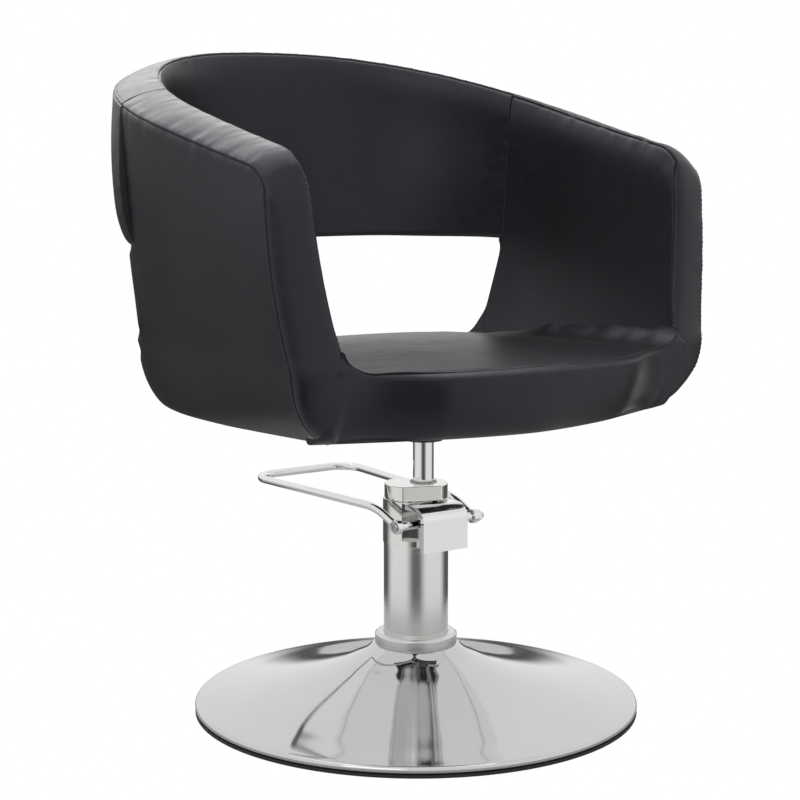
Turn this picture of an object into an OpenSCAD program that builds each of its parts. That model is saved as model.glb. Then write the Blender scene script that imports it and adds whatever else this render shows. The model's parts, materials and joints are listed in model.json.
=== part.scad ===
// Salon styling chair: an upholstered tub on a hydraulic pump with a round base.
// Millimetres, +Z up, the sitter faces -Y. The origin is on the floor, at the
// centre of the round base. The ram stands off that centre, and the whole tub
// is drawn about the ram, which it turns on.

/* [Round base] */
// Diameter of the round base
base_d = 600; // [520:10:700]
// Height of the lip of the dish above the rubber ring
base_lip_h = 10; // [6:0.5:14]
// Height at which the dish meets the collar
base_top_h = 88; // [76:1:100]
// Thickness of the dish's steel sheet
base_sheet = 2.5; // [1.5:0.25:4]
// Thickness of the rubber pad under the dish
floor_pad_h = 4; // [2:0.5:6]
// Outer diameter of the collar at the foot of the column
collar_d = 111; // [104:1:124]
// Height of the collar
collar_h = 16; // [10:1:24]
// Bevel around the top of the collar
collar_bevel = 3; // [1:0.5:5]

/* [Pump] */
// Outer diameter of the pump's column
column_d = 87; // [80:1:96]
// Wall of the column
column_wall = 3; // [2:0.5:5]
// Height of the top of the column
column_top_h = 228; // [215:1:260]
// Sideways place of the ram from the centre of the base
ram_x = 12; // [8:1:14]
// Diameter of the ram
ram_d = 28; // [24:1:30]
// Bore of the ram's cylinder
ram_bore = 34; // [32:1:36]
// Wall of the ram's cylinder
ram_wall = 3; // [2:0.5:4]
// Height of the pump head from the column's top to the cap
head_h = 60; // [54:1:70]
// Thickness of the cap on the pump head
cap_h = 20; // [14:1:26]
// Distance of the cap's two spanner flats from its centre
cap_flat = 33; // [30:1:38]
// Turn of the cap's spanner flats
cap_turn = 21; // [0:1:45]
// Radial clearance of the ram in its bush
ram_clearance = 0.05; // [0.02:0.01:0.1]
// Travel of the chair down from where it is drawn
lift_down = 38; // [20:1:40]
// Travel of the chair up from where it is drawn
lift_up = 112; // [80:1:120]

/* [Foot lever] */
// Diameter of the lever's bar
lever_bar_d = 11; // [9:0.5:13]
// Distance of the lever's shaft in front of the column's centre
shaft_y = 45; // [43:1:47]
// Height of the lever's shaft
shaft_h = 262; // [256:1:270]
// Diameter of the lever's shaft
shaft_d = 12; // [10:1:14]
// Distance between the lever's two eyes, centre to centre
eye_span = 124; // [112:1:140]
// Diameter of the lever's eyes
eye_d = 19; // [17:1:24]
// Length of the lever from its shaft to the middle of its crossbar
lever_l = 337; // [280:1:380]
// Angle by which the lever's legs draw together towards its crossbar
lever_splay = 4; // [0:0.5:10]
// Radius of the lever's corners, at the middle of the bar
lever_corner_r = 34; // [22:1:40]
// Rise of the lever's arms above its shaft
lever_rise = 19; // [10:1:26]
// Width of the sheet cover over the lever's rocker
cover_w = 72; // [68:1:80]
// Thickness of the cover's sheet
cover_sheet = 2; // [1.5:0.25:3]

/* [Seat mount] */
// Side of the square plate under the seat
plate_side = 220; // [180:5:240]
// Thickness of the plate under the seat
plate_h = 6; // [4:1:8]
// Diameter of the hub under the plate
hub_d = 52; // [46:1:60]
// Length of the hub under the plate
hub_l = 34; // [33:1:47]
// Spacing of the four bolts that hold the plate
plate_bolt_spacing = 170; // [140:5:200]
// Thickness of the plywood seat board
board_h = 18; // [12:1:24]
// Thickness of the plywood side panels
panel_t = 15; // [12:1:18]

/* [Tub] */
// Height of the underside of the tub
tub_bottom_h = 405; // [395:1:420]
// Height of the seat at its front seam
seat_front_h = 494; // [480:1:505]
// Height of the seat at its rear edge
seat_rear_h = 470; // [460:1:485]
// Height of the inner top seam at the front of the arms
rim_front_h = 750; // [720:1:790]
// Height of the inner top seam at the middle of the back
rim_back_h = 890; // [850:1:930]
// Height of the lower edge of the back, above the window
window_top_h = 618; // [600:1:640]
// Half of the clear width between the arms, at their top
rim_half_w = 296; // [280:1:310]
// Half of the clear width between the arms, at the seat
seat_half_w = 254; // [240:1:266]
// Width of the top strip at the front of the arms
strip_front_w = 46; // [42:1:56]
// Width of the top strip where the arms meet the back
strip_cross_w = 61; // [56:1:70]
// Width of the top strip at the middle of the back
strip_back_w = 58; // [50:1:66]
// Fall of the top strip from its inner to its outer seam
strip_drop = 20; // [12:1:26]
// Half width of the tub outside, at the seat
low_half_w = 325; // [312:1:336]

/* [Hidden] */

// Gap between faces that only touch, and the overrun of every cut
touch = 0.3;
over = 1;
// Fit of a part that is pressed or screwed into another, on the radius
fit = 0.05;
// Facets of full rounds
round_fn = 96;

// Dish: shares of the way from the neck to the rim, and of the height that is left there
dish_r_share = [0, 0.05, 0.12, 0.22, 0.38, 0.58, 0.8, 1];
dish_z_share = [1, 0.86, 0.74, 0.6, 0.43, 0.26, 0.11, 0];
dish_last = len(dish_r_share) - 1;
dish_weight_ring = dish_last - 1;
dish_rim_h = floor_pad_h + base_lip_h;
dish_lip_r = base_lip_h / 2;
dish_edge_r = base_d / 2 - dish_lip_r;
dish_neck_r = collar_d / 2 + base_sheet;
function dish_r(i) = dish_neck_r + (dish_edge_r - dish_neck_r) * dish_r_share[i];
function dish_h(i) = dish_rim_h + (base_top_h - dish_rim_h) * dish_z_share[i];

// Iron weight, and the flange that the pump stands on
weight_top_h = dish_h(dish_weight_ring) - base_sheet - touch;
flange_d = 176;
flange_h = 8;
flange_top_h = weight_top_h + flange_h;
flange_bolt_d = 10;
flange_bolt_pcd = 136;
bolt_slack = 0.5;
bolt_head_d = 17;
bolt_head_h = 6.4;
bolt_sink_d = 21;
bolt_sink_h = 8;
bolt_count = 4;

// Column, its foot plug and the cylinder of the ram
column_r = column_d / 2;
column_in_r = column_r - column_wall;
foot_h = 18;
foot_socket_h = 10;
foot_top_h = flange_top_h + foot_h;
cylinder_r = ram_bore / 2 + ram_wall;
cylinder_bottom_h = foot_top_h - foot_socket_h + touch;
cylinder_seat = 6;

// Pump head
head_r = column_r + 1;
head_spigot_h = 12;
head_cut_y = 22;
head_top_h = column_top_h + head_h;
shelf_h = 8;
shelf_top_h = column_top_h + shelf_h;
seal_h = 3;
seal_depth = 1.4;
seal_up = 4;
bush_wall = 3;
bush_l = 26;
cap_r = 42.5;
cap_top_h = head_top_h + cap_h;
wiper_wall = 4;
wiper_h = 6.5;
wiper_up = 1.5;
ram_r = ram_d / 2;

// Cheeks of the pump head that carry the lever's shaft
cheek_gap = 34;
cheek_t = 8;
cheek_front_y = 57;
cheek_top_h = shaft_h + 12;
cheek_step_y = 46;
shaft_r = shaft_d / 2;

// Sheet cover over the rocker
cover_front_y = 68;
cover_bottom_h = column_top_h - 2;
cover_bend_r = 20;
cover_top_h = head_top_h - 2;
cover_rim = 7;
cover_screw_d = 4;
cover_screw_l = 12;
cover_screw_y = 30;
cheek_pad_h = cover_top_h - cover_sheet - touch;
stop_pin_d = 6;
stop_pin_head_d = 10;
stop_pin_y = 53;
stop_pin_h = shaft_h - 14;

// Rocker, plunger, its barrel and its spring
rocker_r = 10;
rocker_arm = 14;
rocker_nose_r = 5;
rocker_web_h = 9;
plunger_x = -4;
plunger_y = shaft_y - rocker_arm;
plunger_d = 9;
plunger_top_h = 253;
plunger_head_d = 13;
plunger_head_h = 2.5;
barrel_d = 15;
barrel_bottom_h = 186;
plunger_l = 50;
spring_wire = 1.6;
spring_turns = 4;
spring_r = 6.2;
spring_steps = 12;
spring_h = plunger_top_h - plunger_head_h - shelf_top_h - 2 * touch;
screw_d = 5;
screw_head_d = 8.5;
screw_head_h = 5;

// Foot lever
bar_r = lever_bar_d / 2;
eye_t = 8;
eye_x = eye_span / 2;
eye_bore_d = 8.4;
eye_root = 1;
end_screw_d = 8;
end_screw_l = 18;
end_head_d = 13;
end_head_h = 3;
end_nut_d = 14;
end_nut_h = 7;
end_stud = 5;
lever_knee_y = 2;
lever_knee_out = 2;
lever_back_y = lever_l - shaft_y;
lever_level_h = shaft_h + lever_rise;
knee_x = eye_x + lever_knee_out;
corner_y = lever_back_y - lever_corner_r;
corner_x = knee_x - (lever_corner_r + (lever_knee_y - corner_y) * sin(lever_splay))
    / cos(lever_splay);
knee_bend = 16;
knee_steps = 4;
corner_steps = 8;
lever_sides = 16;

// Piston, and the spigot of the ram in it
piston_h = 24;
piston_top_h = 120;
piston_seal_h = 6;
piston_seal_depth = 3;
ram_spigot_r = 8;
ram_spigot_l = 22;

// Seat mount and its board
hub_top_h = tub_bottom_h - plate_h;
hub_rib_t = 5;
hub_rib_reach = 84;
hub_rib_tip = 8;
hub_rib_root = 30;
plate_bolt_d = 10;
cover_cloth = 1.5;
board_bottom_h = tub_bottom_h + cover_cloth;
board_top_h = board_bottom_h + board_h;
tee_barrel_d = 13;
tee_flange_d = 23;
tee_flange_h = 2;
tee_barrel_l = 12;

// Outline of the tub. The arms run straight back as far as turn_y and then turn.
turn_y = 60;
rim_front_y = 168;
rim_back_y = 394;
knee_h = 500;
knee_front_y = 198;
foot_front_y = 168;
front_power = 0.6;
low_back_y = 345;
cross_turn = 17;
tail_turn = 43;
rim_power = 0.87;
low_power = 0.61;
rim_bend_share = 0.17;
rim_corner_r = 42;
low_corner_w = 48;
low_corner_front_w = 88;
side_bulge = 6;
back_bulge = 15;
back_bulge_low_share = 0.3;
bulge_turn = 12;
window_back_in_y = 362;
window_back_out_y = 424;
slant_foot = -4;
slant_low = 16;
slant_top = 8;
pad_x = seat_half_w - 2;
skirt_t = 12;
panel_low_h = 410;
panel_lean = 10;
panel_front_y = 128;
panel_top_front_y = 96;
panel_rear_y = 172;
panel_l = 352;
panel_corner = 30;
panel_fall = 60;
back_board_t = 9;
back_board_up = 14;
back_board_down = 34;
back_board_share = 0.5;

back_steps = 24;
board_rows = 6;
back_gap_turn = 0.2;
back_edge = 16;
seat_steps = 10;
seat_edge = 2.5;
jamb_step = 0.02;
jamb_turn = 20;
jamb_splay = 5;
jamb_low_h = 514;
jamb_lip = 6;
arm_bend_steps = 4;
arm_tail_steps = 8;
arm_front_in_share = 0.16;
arm_front_up_share = 0.02;
seat_top_share = [0.15, 0.35, 0.6, 0.85];
seat_back_share = [0.2, 0.45, 0.7, 0.88, 1];
seat_under_share = [0.2, 0.4, 0.6, 0.8, 1];
front_share = [0.06, 0.25, 0.5, 0.72, 0.88, 0.97, 1];
arm_station_share = [0.03, 0.09, 0.2, 0.4, 0.6, 0.8];
arm_in_share = [0, 0.3, 0.6, 1];
arm_high_share = [0.45, 0.93];
ledge_share = 0.3;
arm_strip_share = [0, 0.33, 0.67, 1];
arm_out_share = [0.85, 0.4];
arm_low_share = [0, 0.35, 0.7, 0.98];
back_in_share = [0, 0.25, 0.5, 0.72, 0.9];
back_out_share = [0.9, 0.65, 0.4, 0.18, 0];
strip_crown = 5;
seat_seam_y = 262;
seat_seam_bow = 50;
seat_crown = 4;
front_foot_y = 238;
front_foot_bow = 70;
front_foot_power = 1.6;
front_bulge = 8;
front_lip = 14;
tail_top_h = seat_rear_h - 2;

function mix(a, b, s) = a + (b - a) * s;
function clip(s) = max(0, min(1, s));

// Power of the turn: square at the seat, round at the rim
function turn_power(z) = mix(low_power, rim_power, clip((z - knee_h) / (window_top_h - knee_h)));
// Height of the inner top seam above a point y along the tub
function rim_fall(y) = let (d = clip(1 - (rim_front_y + y) / rim_corner_r))
    rim_corner_r * (1 - sqrt(1 - d * d));
function rim_h(y) = let (s = clip((y + rim_front_y) / (rim_back_y + rim_front_y)))
    mix(rim_front_h, rim_back_h, s * (1 - rim_bend_share) + s * s * rim_bend_share)
        - rim_fall(y);
// Front of an arm at a height
function front_rise(z) = pow(max(0, (z - knee_h) / (rim_front_h - knee_h)), front_power);
function arm_front(z) = z > knee_h
    ? mix(knee_front_y, rim_front_y, front_rise(z))
    : mix(foot_front_y, knee_front_y,
        pow(sin(90 * clip((z - tub_bottom_h) / (knee_h - tub_bottom_h))), front_power));
// Reach of the back at a height, inside and outside
function reach_in(z) = mix(window_back_in_y, rim_back_y,
    (z - window_top_h) / (rim_back_h - window_top_h));
function reach_out(z) = z > window_top_h
    ? mix(window_back_out_y, rim_back_y + strip_back_w,
        (z - window_top_h) / (rim_back_h - strip_drop / 2 - window_top_h))
    : mix(low_back_y, window_back_out_y, clip((z - knee_h) / (window_top_h - knee_h)));
// Half widths at a height, inside and outside, at a place y along the tub
function half_in(z, top) = mix(seat_half_w, rim_half_w, (z - seat_rear_h) / (top - seat_rear_h));
function strip_w(y) = mix(strip_front_w, strip_cross_w, clip((y + rim_front_y)
    / (turn_y + rim_front_y)));
function half_out(z, top, y) = mix(low_half_w, rim_half_w + strip_w(y),
    (z - knee_h) / (top - knee_h));
// A station is 0 at the front of an arm, 1 where it starts to turn, and past that
// it grows by 1 for each degree of the turn
function turn_of(u) = max(0, u - 1);
function slant(z) = z > knee_h
    ? mix(slant_low, slant_top, clip(front_rise(z)))
    : mix(slant_foot, slant_low, (z - tub_bottom_h) / (knee_h - tub_bottom_h));
function along(u, z, reach, inner = 0) = u < 1
    ? mix(-arm_front(z) - slant(z) * inner, turn_y, u)
    : turn_y + (reach - turn_y) * pow(sin(turn_of(u)), turn_power(z));
function across(u, z, half) = let (c = cos(turn_of(u)))
    half * sign(c) * pow(abs(c), turn_power(z));
// Rim height over a station
function rim_at(u) = rim_h(along(u, rim_front_h, rim_back_y));

// One point of the wall on its inner face and on its outer face
function wall_in(u, z) = let (top = rim_at(u))
    [across(u, z, half_in(z, top)), along(u, z, reach_in(z), 1), z];
function bulge(u, z) = let (past = turn_of(u) > cross_turn, low = past ? window_top_h : knee_h)
    mix(side_bulge, back_bulge, clip((turn_of(u) - cross_turn) / bulge_turn))
        * sin(180 * mix(past ? back_bulge_low_share : 0, 1,
            clip((z - low) / (rim_at(u) - strip_drop - low))));
function wall_out(u, z) = let (
        top = rim_at(u) - strip_drop, y = along(u, z, reach_out(z)), b = bulge(u, z))
    [across(u, z, half_out(z, top, y) + b), along(u, z, reach_out(z) + b), z];
// A point of the top strip, at a share of the way from its inner to its outer seam
function strip_at(u, s) = let (
        top = rim_at(u), a = wall_in(u, top), b = wall_out(u, top - strip_drop))
    mix(a, b, s) + [0, 0, strip_crown * sin(180 * s)];
// A point of the rounded lower edge of the tub, at an angle below its widest line
function low_turn(z) = asin(clip((knee_h - z) / (knee_h - tub_bottom_h)));
function low_at(u, angle) = let (
        z = knee_h - (knee_h - tub_bottom_h) * sin(angle),
        w = mix(low_corner_front_w, low_corner_w, clip(u)) * (1 - cos(angle)))
    [across(u, z, low_half_w - w), along(u, z, low_back_y - w / 2), z];

// Closed solid from rings of points, its faces all triangles. The ends are fans about
// their middle or, where the rings bend round a slot, ladders between its two sides.
function ring_mid(r) = [for (k = [0 : 2]) [for (p = r) p[k]] * [for (p = r) 1] / len(r)];
module skin(rings, ladder = false) {
    n = len(rings[0]);
    m = len(rings);
    sides = [for (i = [0 : m - 2], k = [0 : n - 1]) let (
            a = i * n + k, b = i * n + (k + 1) % n, c = a + n, d = b + n)
        each [[a, b, d], [a, d, c]]];
    fans = [for (k = [0 : n - 1]) let (next = (k + 1) % n, last = (m - 1) * n)
        each [[m * n, next, k], [m * n + 1, last + k, last + next]]];
    rungs = [for (i = [0 : n / 2 - 2]) let (last = (m - 1) * n, far = n - 1 - i)
        each [[i + 1, i, far], [far, far - 1, i + 1],
            [last + i, last + i + 1, last + far], [last + far - 1, last + far, last + i + 1]]];
    polyhedron(
        points = concat([for (r = rings) each r],
            ladder ? [] : [ring_mid(rings[0]), ring_mid(rings[m - 1])]),
        faces = concat(sides, ladder ? rungs : fans));
}
// Round bar along a path, with one ring of points for each point of the path
function unit(v) = v / norm(v);
function round_ring(p, way, r, sides) = let (
        side = unit(cross(way, [0, 0, 1])), up = cross(side, way))
    [for (k = [0 : sides - 1]) p + r * (cos(360 * k / sides) * side + sin(360 * k / sides) * up)];
function bar_rings(path, r, sides) = let (last = len(path) - 1)
    [for (i = [0 : last])
        round_ring(path[i], unit(path[min(i + 1, last)] - path[max(i - 1, 0)]), r, sides)];

// A disc or tube on a vertical axis, from one height to another
module disc(r, low, high) {
    translate([0, 0, low]) cylinder(r = r, h = high - low, $fn = round_fn);
}
module tube(outer, inner, low, high) {
    difference() {
        disc(outer, low, high);
        disc(inner, low - over, high + over);
    }
}
// A round bar along X, its middle at x
module cross_bar(r, x, l) {
    translate([x - l / 2, 0, 0]) rotate([0, 90, 0]) cylinder(r = r, h = l, $fn = round_fn);
}
module around(count, pcd) {
    for (i = [0 : count - 1]) rotate((i + 0.5) * 360 / count) translate([pcd / 2, 0, 0]) children();
}
module at_corners(spacing) {
    for (x = [-1, 1], y = [-1, 1]) translate([x * spacing / 2, y * spacing / 2, 0]) children();
}
module hexagon(width, low, high) {
    translate([0, 0, low]) cylinder(r = width / sqrt(3), h = high - low, $fn = 6);
}

module floor_pad() color("dimgray") disc(base_d / 2 - touch, 0, floor_pad_h);

module base_weight() color("slategray") difference() {
    disc(dish_r(dish_weight_ring), floor_pad_h, weight_top_h);
    around(bolt_count, flange_bolt_pcd) {
        disc(flange_bolt_d / 2 + bolt_slack, 0, weight_top_h + over);
        disc(bolt_sink_d / 2, 0, floor_pad_h + bolt_sink_h);
    }
}

module base_dish() color("silver") rotate_extrude($fn = round_fn) {
    polygon(concat(
        [[column_r + touch, base_top_h - base_sheet], [column_r + touch, base_top_h]],
        [for (i = [0 : dish_last]) [dish_r(i), dish_h(i)]],
        [for (i = [dish_last : -1 : 0]) [dish_r(i), dish_h(i) - base_sheet]]));
    translate([dish_edge_r, floor_pad_h + dish_lip_r]) circle(r = dish_lip_r, $fn = round_fn);
}

module base_collar() color("silver") rotate_extrude($fn = round_fn) polygon([
    [column_r + fit, base_top_h],
    [collar_d / 2, base_top_h],
    [collar_d / 2, base_top_h + collar_h - collar_bevel],
    [collar_d / 2 - collar_bevel, base_top_h + collar_h],
    [column_r + fit, base_top_h + collar_h]]);

module pump_flange() color("gray") difference() {
    disc(flange_d / 2, weight_top_h, flange_top_h);
    around(bolt_count, flange_bolt_pcd)
        disc(flange_bolt_d / 2 + bolt_slack, weight_top_h - over, flange_top_h + over);
}

module flange_bolts() color("darkgray") around(bolt_count, flange_bolt_pcd) {
    hexagon(bolt_head_d, floor_pad_h + bolt_sink_h - bolt_head_h, floor_pad_h + bolt_sink_h);
    disc(flange_bolt_d / 2, floor_pad_h + bolt_sink_h - over,
        flange_top_h + bolt_head_h + flange_bolt_d / 2);
}

module flange_nuts() color("darkgray") around(bolt_count, flange_bolt_pcd) difference() {
    hexagon(bolt_head_d, flange_top_h, flange_top_h + bolt_head_h);
    disc(flange_bolt_d / 2 + fit, flange_top_h - over, flange_top_h + bolt_head_h + over);
}

module pump_column() color("lightgray")
    tube(column_r, column_in_r, flange_top_h, column_top_h);

module pump_foot() color("gray") difference() {
    disc(column_in_r - fit, flange_top_h, foot_top_h);
    translate([ram_x, 0, 0])
        disc(cylinder_r + fit, foot_top_h - foot_socket_h, foot_top_h + over);
}

module ram_cylinder() color("gray") translate([ram_x, 0, 0])
    tube(cylinder_r, ram_bore / 2, cylinder_bottom_h, column_top_h + cylinder_seat - touch);

module cheek(side) {
    x = side > 0 ? cheek_gap / 2 : -cheek_gap / 2 - cheek_t;
    translate([x, -cheek_front_y, column_top_h])
        cube([cheek_t, cheek_front_y - head_cut_y + over, cheek_top_h - column_top_h]);
    translate([x, -cheek_step_y, column_top_h])
        cube([cheek_t, cheek_step_y - head_cut_y + over, cheek_pad_h - column_top_h]);
}

module pump_head() color("silver") difference() {
    union() {
        disc(column_in_r - fit, column_top_h - head_spigot_h, column_top_h + over);
        difference() {
            disc(head_r, column_top_h, head_top_h);
            translate([-head_r - over, -head_r - over, shelf_top_h])
                cube([2 * (head_r + over), head_r + over - head_cut_y, head_h]);
        }
        cheek(-1);
        cheek(1);
    }
    translate([ram_x, 0, 0]) {
        disc(cylinder_r + fit, column_top_h - head_spigot_h - over, column_top_h + cylinder_seat);
        disc(ram_bore / 2 + fit, column_top_h, head_top_h + over);
    }
    translate([0, -shaft_y, shaft_h]) cross_bar(shaft_r + fit, 0, 2 * head_r);
    translate([0, -stop_pin_y, stop_pin_h]) cross_bar(stop_pin_d / 2 + fit, 0, 2 * head_r);
    translate([plunger_x, -plunger_y, 0])
        disc(barrel_d / 2 + fit, column_top_h - head_spigot_h - over, shelf_top_h + over);
    for (x = [-1, 1]) translate([x * (cheek_gap + cheek_t) / 2, -cover_screw_y, 0])
        disc(cover_screw_d / 2 + fit, cheek_pad_h - cover_screw_l, cheek_pad_h + over);
    seal_groove();
}

module seal_groove() {
    low = column_top_h - head_spigot_h + seal_up;
    tube(column_r, column_in_r - seal_depth, low, low + seal_h);
}

module head_seal() color("dimgray") {
    low = column_top_h - head_spigot_h + seal_up;
    tube(column_in_r - fit, column_in_r - seal_depth + fit, low + fit, low + seal_h - fit);
}

module pump_cap() color("silver") difference() {
    disc(cap_r, head_top_h, cap_top_h);
    rotate(-cap_turn) for (y = [-1, 1])
        translate([-cap_r - over, y > 0 ? cap_flat : -cap_flat - cap_r, head_top_h - over])
            cube([2 * (cap_r + over), cap_r, cap_h + 2 * over]);
    translate([ram_x, 0, 0]) {
        disc(ram_r + touch, head_top_h - over, cap_top_h + over);
        disc(ram_r + wiper_wall + fit, cap_top_h + wiper_up - wiper_h, cap_top_h + over);
    }
}

module ram_bush() color("goldenrod") translate([ram_x, 0, 0])
    tube(ram_bore / 2, ram_r + ram_clearance, head_top_h - bush_l, head_top_h - touch);

module ram_wiper() color("whitesmoke") translate([ram_x, 0, 0])
    tube(ram_r + wiper_wall, ram_r + ram_clearance, cap_top_h + wiper_up - wiper_h,
        cap_top_h + wiper_up);

module plunger_barrel() color("gray") translate([plunger_x, -plunger_y, 0])
    tube(barrel_d / 2, plunger_d / 2 + ram_clearance, barrel_bottom_h, shelf_top_h);

module stop_pin() color("silver") translate([0, -stop_pin_y, stop_pin_h]) {
    half = cheek_gap / 2 + cheek_t + touch;
    cross_bar(stop_pin_d / 2, 0, 2 * half + over);
    for (x = [-1, 1]) intersection() {
        translate([x * half, 0, 0]) sphere(r = stop_pin_head_d / 2, $fn = round_fn);
        cross_bar(stop_pin_head_d, x * (half + stop_pin_head_d / 2), stop_pin_head_d);
    }
}

// Side outline of the cover, drawn in from its outer face by an amount
module cover_outline(inset, extra) {
    bend = [-cover_front_y + cover_bend_r, cover_top_h - cover_bend_r];
    back = -head_cut_y - touch + extra;
    translate(bend) circle(r = cover_bend_r - inset, $fn = round_fn);
    translate([-cover_front_y + inset, cover_bottom_h - extra])
        square([bend.x + cover_front_y - inset, bend.y - cover_bottom_h + extra]);
    translate([bend.x, cover_bottom_h - extra])
        square([back - bend.x, cover_top_h - inset - cover_bottom_h + extra]);
}
module cover_slice(inset, extra, width) {
    translate([-width / 2, 0, 0]) rotate([90, 0, 90]) linear_extrude(width)
        cover_outline(inset, extra);
}
module cover_box() color("gainsboro") difference() {
    cover_slice(0, 0, cover_w);
    cover_slice(cover_sheet, over, cover_w - 2 * cover_sheet);
    cover_slice(cover_rim, over, cover_w + 2 * over);
    for (x = [-1, 1]) translate([x * (cheek_gap + cheek_t) / 2, -cover_screw_y, 0])
        disc(cover_screw_d / 2 + bolt_slack, cover_top_h - 2 * cover_sheet, cover_top_h + over);
}

module cover_screws() color("silver")
    for (x = [-1, 1]) translate([x * (cheek_gap + cheek_t) / 2, -cover_screw_y, 0]) {
        disc(cover_screw_d / 2, cheek_pad_h - cover_screw_l + touch, cover_top_h + over / 2);
        disc(cover_screw_d, cover_top_h, cover_top_h + over);
    }

module piston() color("gray") translate([ram_x, 0, 0]) difference() {
    disc(ram_bore / 2 - ram_clearance, piston_top_h - piston_h, piston_top_h);
    disc(ram_spigot_r + ram_clearance, piston_top_h - piston_h - over, piston_top_h + over);
    tube(ram_bore, ram_bore / 2 - piston_seal_depth, piston_top_h - piston_h / 2,
        piston_top_h - piston_h / 2 + piston_seal_h);
}

module piston_seal() color("dimgray") translate([ram_x, 0, 0])
    tube(ram_bore / 2 - ram_clearance, ram_bore / 2 - piston_seal_depth + fit,
        piston_top_h - piston_h / 2 + fit, piston_top_h - piston_h / 2 + piston_seal_h - fit);

// One side of the lever from its eye to the end of its corner, and the whole bar
function bend(a, b, c, s) = mix(mix(a, b, s), mix(b, c, s), s);
function lever_side(x) = let (
        eye = [x * eye_x, -shaft_y, shaft_h], knee = [x * knee_x, lever_knee_y, lever_level_h],
        turn = [x * corner_x, corner_y, lever_level_h], r = lever_corner_r,
        leg = turn + r * [x * cos(lever_splay), -sin(lever_splay), 0])
    concat([eye + (eye_d / 2 - eye_root) * unit(knee - eye)],
        [for (i = [0 : knee_steps])
            bend(knee + knee_bend * unit(eye - knee), knee, knee + knee_bend * unit(leg - knee),
                i / knee_steps)],
        [for (i = [0 : corner_steps]) let (a = mix(-lever_splay, 90, i / corner_steps))
            turn + r * [x * cos(a), sin(a), 0]]);
function backwards(path) = [for (i = [len(path) - 1 : -1 : 0]) path[i]];
module foot_lever() color("silver") difference() {
    union() {
        skin(bar_rings(concat(lever_side(1), backwards(lever_side(-1))), bar_r, lever_sides));
        for (x = [-1, 1]) translate([x * eye_x, -shaft_y, shaft_h]) cross_bar(eye_d / 2, 0, eye_t);
    }
    for (x = [-1, 1]) translate([x * eye_x, -shaft_y, shaft_h])
        cross_bar(eye_bore_d / 2, 0, 2 * eye_t);
}

module lever_shaft() color("silver") translate([0, -shaft_y, shaft_h]) difference() {
    half = eye_x - eye_t / 2;
    cross_bar(shaft_r, 0, 2 * half);
    for (x = [-1, 1]) cross_bar(end_screw_d / 2 + fit, x * half, 2 * end_screw_l + over);
}

module rocker() color("gray") {
    w = cheek_gap - 2 * touch;
    translate([0, -shaft_y, shaft_h]) difference() {
        union() {
            cross_bar(rocker_r, 0, w);
            translate([-w / 2, 0, plunger_top_h + touch + rocker_nose_r - shaft_h])
                translate([0, 0, -rocker_web_h / 2]) cube([w, rocker_arm, rocker_web_h]);
            translate([0, rocker_arm, plunger_top_h + touch + rocker_nose_r - shaft_h])
                cross_bar(rocker_nose_r, 0, w);
        }
        cross_bar(shaft_r + fit, 0, w + 2 * over);
        translate([0, -shaft_r / 2, 0]) rotate([90, 0, 0])
            cylinder(r = screw_d / 2 + fit, h = rocker_r, $fn = round_fn);
    }
}

module rocker_screw() color("dimgray")
    translate([0, -shaft_y - shaft_r - touch, shaft_h]) rotate([90, 0, 0]) difference() {
        union() {
            cylinder(r = screw_d / 2, h = rocker_r - shaft_r + over, $fn = round_fn);
            translate([0, 0, rocker_r - shaft_r])
                cylinder(r = screw_head_d / 2, h = screw_head_h, $fn = round_fn);
        }
        translate([0, 0, rocker_r - shaft_r + screw_head_h / 2])
            cylinder(r = screw_d / 2, h = screw_head_h, $fn = 6);
    }

// Screw that holds the left eye, and the longer one with a nut on the right
module lever_screw() color("darkgray") translate([0, -shaft_y, shaft_h]) {
    out = eye_x + eye_t / 2;
    difference() {
        union() {
            cross_bar(end_screw_d / 2, -out + (eye_t + end_screw_l) / 2, eye_t + end_screw_l);
            cross_bar(end_head_d / 2, -out - end_head_h / 2, end_head_h);
        }
        translate([-out - over, 0, 0]) rotate([0, 90, 0])
            translate([0, 0, -end_head_h]) cylinder(r = end_screw_d / 3, h = end_head_h, $fn = 6);
    }
    cross_bar(end_screw_d / 2, out + (end_nut_h + end_stud - eye_t - end_screw_l) / 2,
        eye_t + end_screw_l + end_nut_h + end_stud);
}

module lever_nut() color("silver") translate([eye_x + eye_t / 2 + touch / 2, -shaft_y, shaft_h])
    rotate([0, 90, 0]) difference() {
        cylinder(r = end_nut_d / sqrt(3), h = end_nut_h, $fn = 6);
        translate([0, 0, -over])
            cylinder(r = end_screw_d / 2 + fit, h = end_nut_h + 2 * over, $fn = round_fn);
    }

module pump_plunger() color("gray") translate([plunger_x, -plunger_y, 0]) {
    disc(plunger_d / 2, plunger_top_h - plunger_l, plunger_top_h);
    disc(plunger_head_d / 2, plunger_top_h - plunger_head_h, plunger_top_h);
}

// Wire wound round the plunger, swept through rings of six sides
module plunger_spring() color("dimgray") translate([plunger_x, -plunger_y, 0]) {
    low = shelf_top_h + touch + spring_wire / 2;
    rise = spring_h - spring_wire;
    steps = spring_turns * spring_steps;
    skin([for (i = [0 : steps]) let (a = 360 * i / spring_steps, z = low + rise * i / steps)
        [for (k = [0 : 5]) let (r = spring_r + spring_wire / 2 * cos(60 * k))
            [r * cos(a), r * sin(a), z + spring_wire / 2 * sin(60 * k)]]]);
}

module ram_rod() color("silver") translate([ram_x, 0, 0]) {
    disc(ram_r, piston_top_h + touch, hub_top_h - touch);
    disc(ram_spigot_r, piston_top_h + touch - ram_spigot_l, piston_top_h + over);
}

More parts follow.
